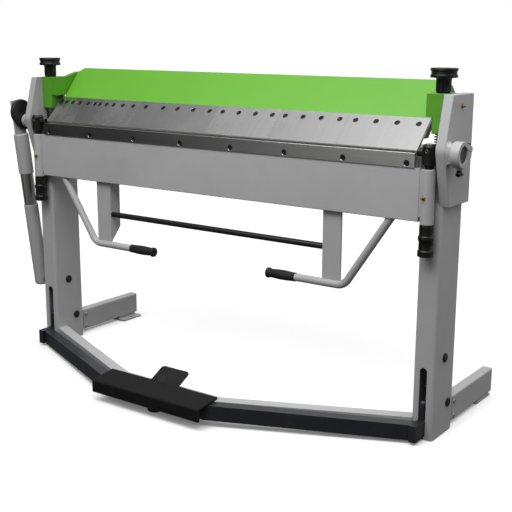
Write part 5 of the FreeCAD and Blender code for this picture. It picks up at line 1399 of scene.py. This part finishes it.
@dataclass
class Tread(SubAssembly):
    """Folded foot plate with its tab, and the ribbed mat that runs over its front fold."""

    half: float = 226.0
    rear: tuple[float, float] = (-240.0, 83.0)
    fold: tuple[float, float] = (-336.0, 72.2)
    lip: float = 31.4
    fold_radius: float = 6.0
    thickness: float = 6.0
    mat_thickness: float = 2.0
    rib_pitch: float = 5.0
    tab_half: float = 58.0
    tab_line: tuple[tuple[float, float], ...] = ((-251.0, 75.7), (-236.0, 77.4), (-171.0, 110.96))
    tab_thickness: float = 5.0
    tab_corner: float = 12.0

    def build(self) -> None:
        """Make the plate with its tab, and the mat."""
        self.plate()
        self.mat()

    def skin(self) -> list[tuple[Vector, Vector]]:
        """Points down the plate's outer face from its rear edge, each with its outward direction."""
        corner = Vector(self.fold)
        back = Vector(self.rear)
        down = (corner - back).normalized()
        up = Vector((down.y, -down.x))
        first = math.degrees(math.atan2(up.y, up.x))
        reach = self.fold_radius * math.tan(math.radians(180 - first) / 2)
        bend = corner - down * reach - up * self.fold_radius
        points = [(back, up), (corner - down * (reach + 2.0), up)]
        for point in arc((bend.x, bend.y), self.fold_radius, first, 180.0, 7):
            away = (Vector(point) - bend).normalized()
            points.append((Vector(point), away))
        ahead = Vector((-1.0, 0.0))
        points += [(points[-1][0] - Vector((0.0, 2.0)), ahead),
                   (Vector((self.fold[0], self.lip)), ahead)]
        return points

    def plate(self) -> None:
        """Folded plate and the bent tab under its rear edge."""
        skin = self.skin()
        outline = [tuple(point) for point, _ in skin]
        lip, away = skin[-1]
        back, up = skin[0]
        bend = skin[2][0] - skin[2][1] * self.fold_radius
        outline += [tuple(lip - away * self.thickness), tuple(bend), tuple(back - up * self.thickness)]
        stock = Stock()
        stock.along_x(outline, -self.half, self.half)
        root, crease, tip = (Vector(point) for point in self.tab_line)
        self.tab_run(stock, root, crease + (crease - root).normalized() * 1.5, 0.0)
        self.tab_run(stock, crease, tip, self.tab_corner)
        self.fit(stock, "tread_folded", Paintwork.TREAD, Fitting("pedal", "black_paint", ("tread",)))

    def tab_run(self, stock: Stock, start: Vector, end: Vector, corner: float) -> None:
        """Add one flat run of the tab.

        Args:
            stock: the tread being made.
            start: Y and Z of the run's upper face where it starts.
            end: where it ends.
            corner: radius of its two far corners.
        """
        along = (end - start).normalized()
        under = Vector((along.y, -along.x)) * self.tab_thickness
        length = (end - start).length
        plan = [(-self.tab_half, 0.0), (self.tab_half, 0.0)]
        if corner:
            plan += arc((self.tab_half - corner, length - corner), corner, 0, 90)
            plan += arc((corner - self.tab_half, length - corner), corner, 90, 180)
        else:
            plan += [(self.tab_half, length), (-self.tab_half, length)]

        def place(x: float, run: float, depth: float) -> Vector:
            """Point of the tab: across the machine, along the run and below its upper face."""
            point = start + along * run + under * depth
            return spot(x, point.x, point.y)

        stock.prism(plan, place, 0.0, 1.0)

    def mat(self) -> None:
        """Mat whose fine ribs run down the slope, over the fold and down the lip."""
        width = self.half - 0.5
        count = round(2 * width / self.rib_pitch)
        pitch = 2 * width / count
        low, high = self.mat_thickness * 0.3, self.mat_thickness
        section = [(-width, 0.0), (width, 0.0)]
        for index in range(count):
            right = width - index * pitch
            section += [(right, low), (right - pitch * 0.12, high), (right - pitch * 0.56, high),
                        (right - pitch * 0.68, low)]
        section.append((-width, low))
        stock = Stock()
        stock.loft([[spot(x, point.x + away.x * height, point.y + away.y * height)
                     for x, height in section] for point, away in self.skin()])
        self.fit(stock, "tread_mat_ribbed", Paintwork.MAT,
                 Fitting("pedal", "black_rubber", ("tread_mat",)))


# Studio


@dataclass(frozen=True)
class Softbox:
    """A rectangular soft light: its middle, the point that it faces and its size, in metres."""

    name: str
    place: Point
    target: Point
    size: tuple[float, float]
    power: float

    def hang(self) -> None:
        """Add the light to the scene."""
        data = bpy.data.lights.new(self.name, "AREA")
        data.shape = "RECTANGLE"
        data.size, data.size_y = self.size
        data.energy = self.power
        made = bpy.data.objects.new(self.name, data)
        made.location = self.place
        aim = Vector(self.target) - Vector(self.place)
        made.rotation_euler = aim.to_track_quat("-Z", "Y").to_euler()
        made.visible_camera = False
        bpy.context.scene.collection.objects.link(made)
        log.info("%s: %.0f W", self.name, self.power)


@dataclass
class Studio:
    """Pale floor, soft lights and the camera."""

    camera_place: Point = (1.98588, -2.56532, 1.19531)
    azimuth: float = 35.54
    down: float = 12.994
    roll: float = 0.249
    lens: float = 67.749
    floor_tone: Colour = (0.92, 0.92, 0.92)
    floor_glow: float = 0.12
    floor_half: float = 40.0
    roof_left: float = 0.05
    roof_gain: float = 1.75
    roof_fall: float = 1.45
    front_left: float = 0.012
    front_gain: float = 0.45
    front_fall: float = 0.36
    back: float = 0.5
    ground: float = 0.07
    roof_rise: tuple[float, float] = (-0.79, -0.22)
    roof_drop: tuple[float, float] = (0.25, 0.9)
    front_rise: tuple[float, float] = (-0.7, -0.38)
    front_drop: tuple[float, float] = (-0.1, 0.5)
    back_turn: tuple[float, float] = (-0.2, 0.3)
    wall_foot: tuple[float, float] = (-0.35, -0.12)
    wall_top: tuple[float, float] = (0.35, 0.7)
    softboxes: tuple[Softbox, ...] = (
        Softbox("front_box", (0.25, -1.1, 2.2), (0.1, 0.0, 0.8), (2.4, 0.8), 26.0),
        Softbox("right_box", (2.2, 0.0, 2.0), (0.8, 0.0, 0.9), (0.8, 0.8), 2.5),
    )

    def build(self) -> None:
        """Set up everything that isn't part of the machine."""
        self.floor()
        self.world()
        for softbox in self.softboxes:
            softbox.hang()
        self.camera()

    def floor(self) -> None:
        """Large pale floor with a faint mottle."""
        graph = Surface("floor_paper")
        where = graph.place()
        mottle = graph.noise(where, 0.6, 3.0)
        deep: Colour = tuple(part * 0.985 for part in self.floor_tone)
        graph.feed(graph.shader.inputs["Base Color"], graph.mixed(mottle, deep, self.floor_tone))
        graph.feed(graph.shader.inputs["Roughness"], 0.75 + mottle * 0.1)
        graph.shader.inputs["Specular IOR Level"].default_value = 0.2
        graph.shader.inputs["Emission Color"].default_value = (1.0, 1.0, 1.0, 1.0)
        graph.shader.inputs["Emission Strength"].default_value = self.floor_glow
        half = self.floor_half
        corners = ((-half, -half), (half, -half), (half, half), (-half, half))
        stock = Stock([Vector((x, y, 0.0)) for x, y in corners], [(0, 1, 2, 3)])
        made = stock.piece("floor", graph.material)
        made.visible_diffuse = False
        made.visible_glossy = False

    def world(self) -> None:
        """Surroundings: a roof light that dims to the left, walls, and a darker studio ground."""
        world = bpy.data.worlds.new("studio")
        world.use_nodes = True
        bpy.context.scene.world = world
        graph = Graph(world.node_tree)
        where = Direction(graph, graph.node("ShaderNodeTexCoord", {}, {}).outputs["Generated"])
        across = graph.axis(where, "X")
        up = graph.axis(where, "Z")
        roof = self.roof_left + across.ramp(*self.roof_rise) * self.roof_gain
        roof = roof - across.ramp(*self.roof_drop) * self.roof_fall
        front = self.front_left + across.ramp(*self.front_rise) * self.front_gain
        front = front - across.ramp(*self.front_drop) * self.front_fall
        wall = graph.axis(where, "Y").ramp(*self.back_turn).between(front, self.back)
        side = up.ramp(*self.wall_foot).between(self.ground, wall)
        light = up.ramp(*self.wall_top).between(side, roof)
        seen = Value(graph, graph.node("ShaderNodeLightPath", {}, {}).outputs["Is Camera Ray"])
        background = graph.tree.nodes["Background"]
        background.inputs["Color"].default_value = (1.0, 1.0, 1.0, 1.0)
        graph.feed(background.inputs["Strength"], seen.between(light, 1.0))

    def camera(self) -> None:
        """Camera at the photograph's viewing angle."""
        data = bpy.data.cameras.new("camera")
        data.lens = self.lens
        data.sensor_width = 36.0
        data.clip_start, data.clip_end = 0.05, 200.0
        made = bpy.data.objects.new("camera", data)
        turn = Matrix.Rotation(math.radians(self.azimuth), 4, "Z")
        tilt = Matrix.Rotation(math.radians(90 - self.down), 4, "X")
        spin = Matrix.Rotation(math.radians(self.roll), 4, "Z")
        made.matrix_world = Matrix.Translation(self.camera_place) @ turn @ tilt @ spin
        bpy.context.scene.collection.objects.link(made)
        bpy.context.scene.camera = made
        log.info("camera: %.1f mm", self.lens)


def main() -> None:
    """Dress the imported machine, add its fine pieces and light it."""
    logging.basicConfig(level=logging.INFO, format="%(name)s %(message)s", stream=sys.stdout)
    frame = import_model()
    scene = bpy.context.scene
    scene.view_settings.view_transform = "Standard"
    shop = Paintshop()
    assemblies: list[SubAssembly] = [
        FrameDress(shop, frame["nodes"]), Fasteners(shop), GreaseNipples(shop), PivotBlocks(shop),
        Crank(shop), StrutStud(shop), StrutTube(shop), Leaf(shop), Welds(shop), Knobs(shop),
        Grips(shop), Tread(shop),
    ]
    for assembly in assemblies:
        assembly.build()
    Studio().build()


if __name__ == "__main__":
    main()
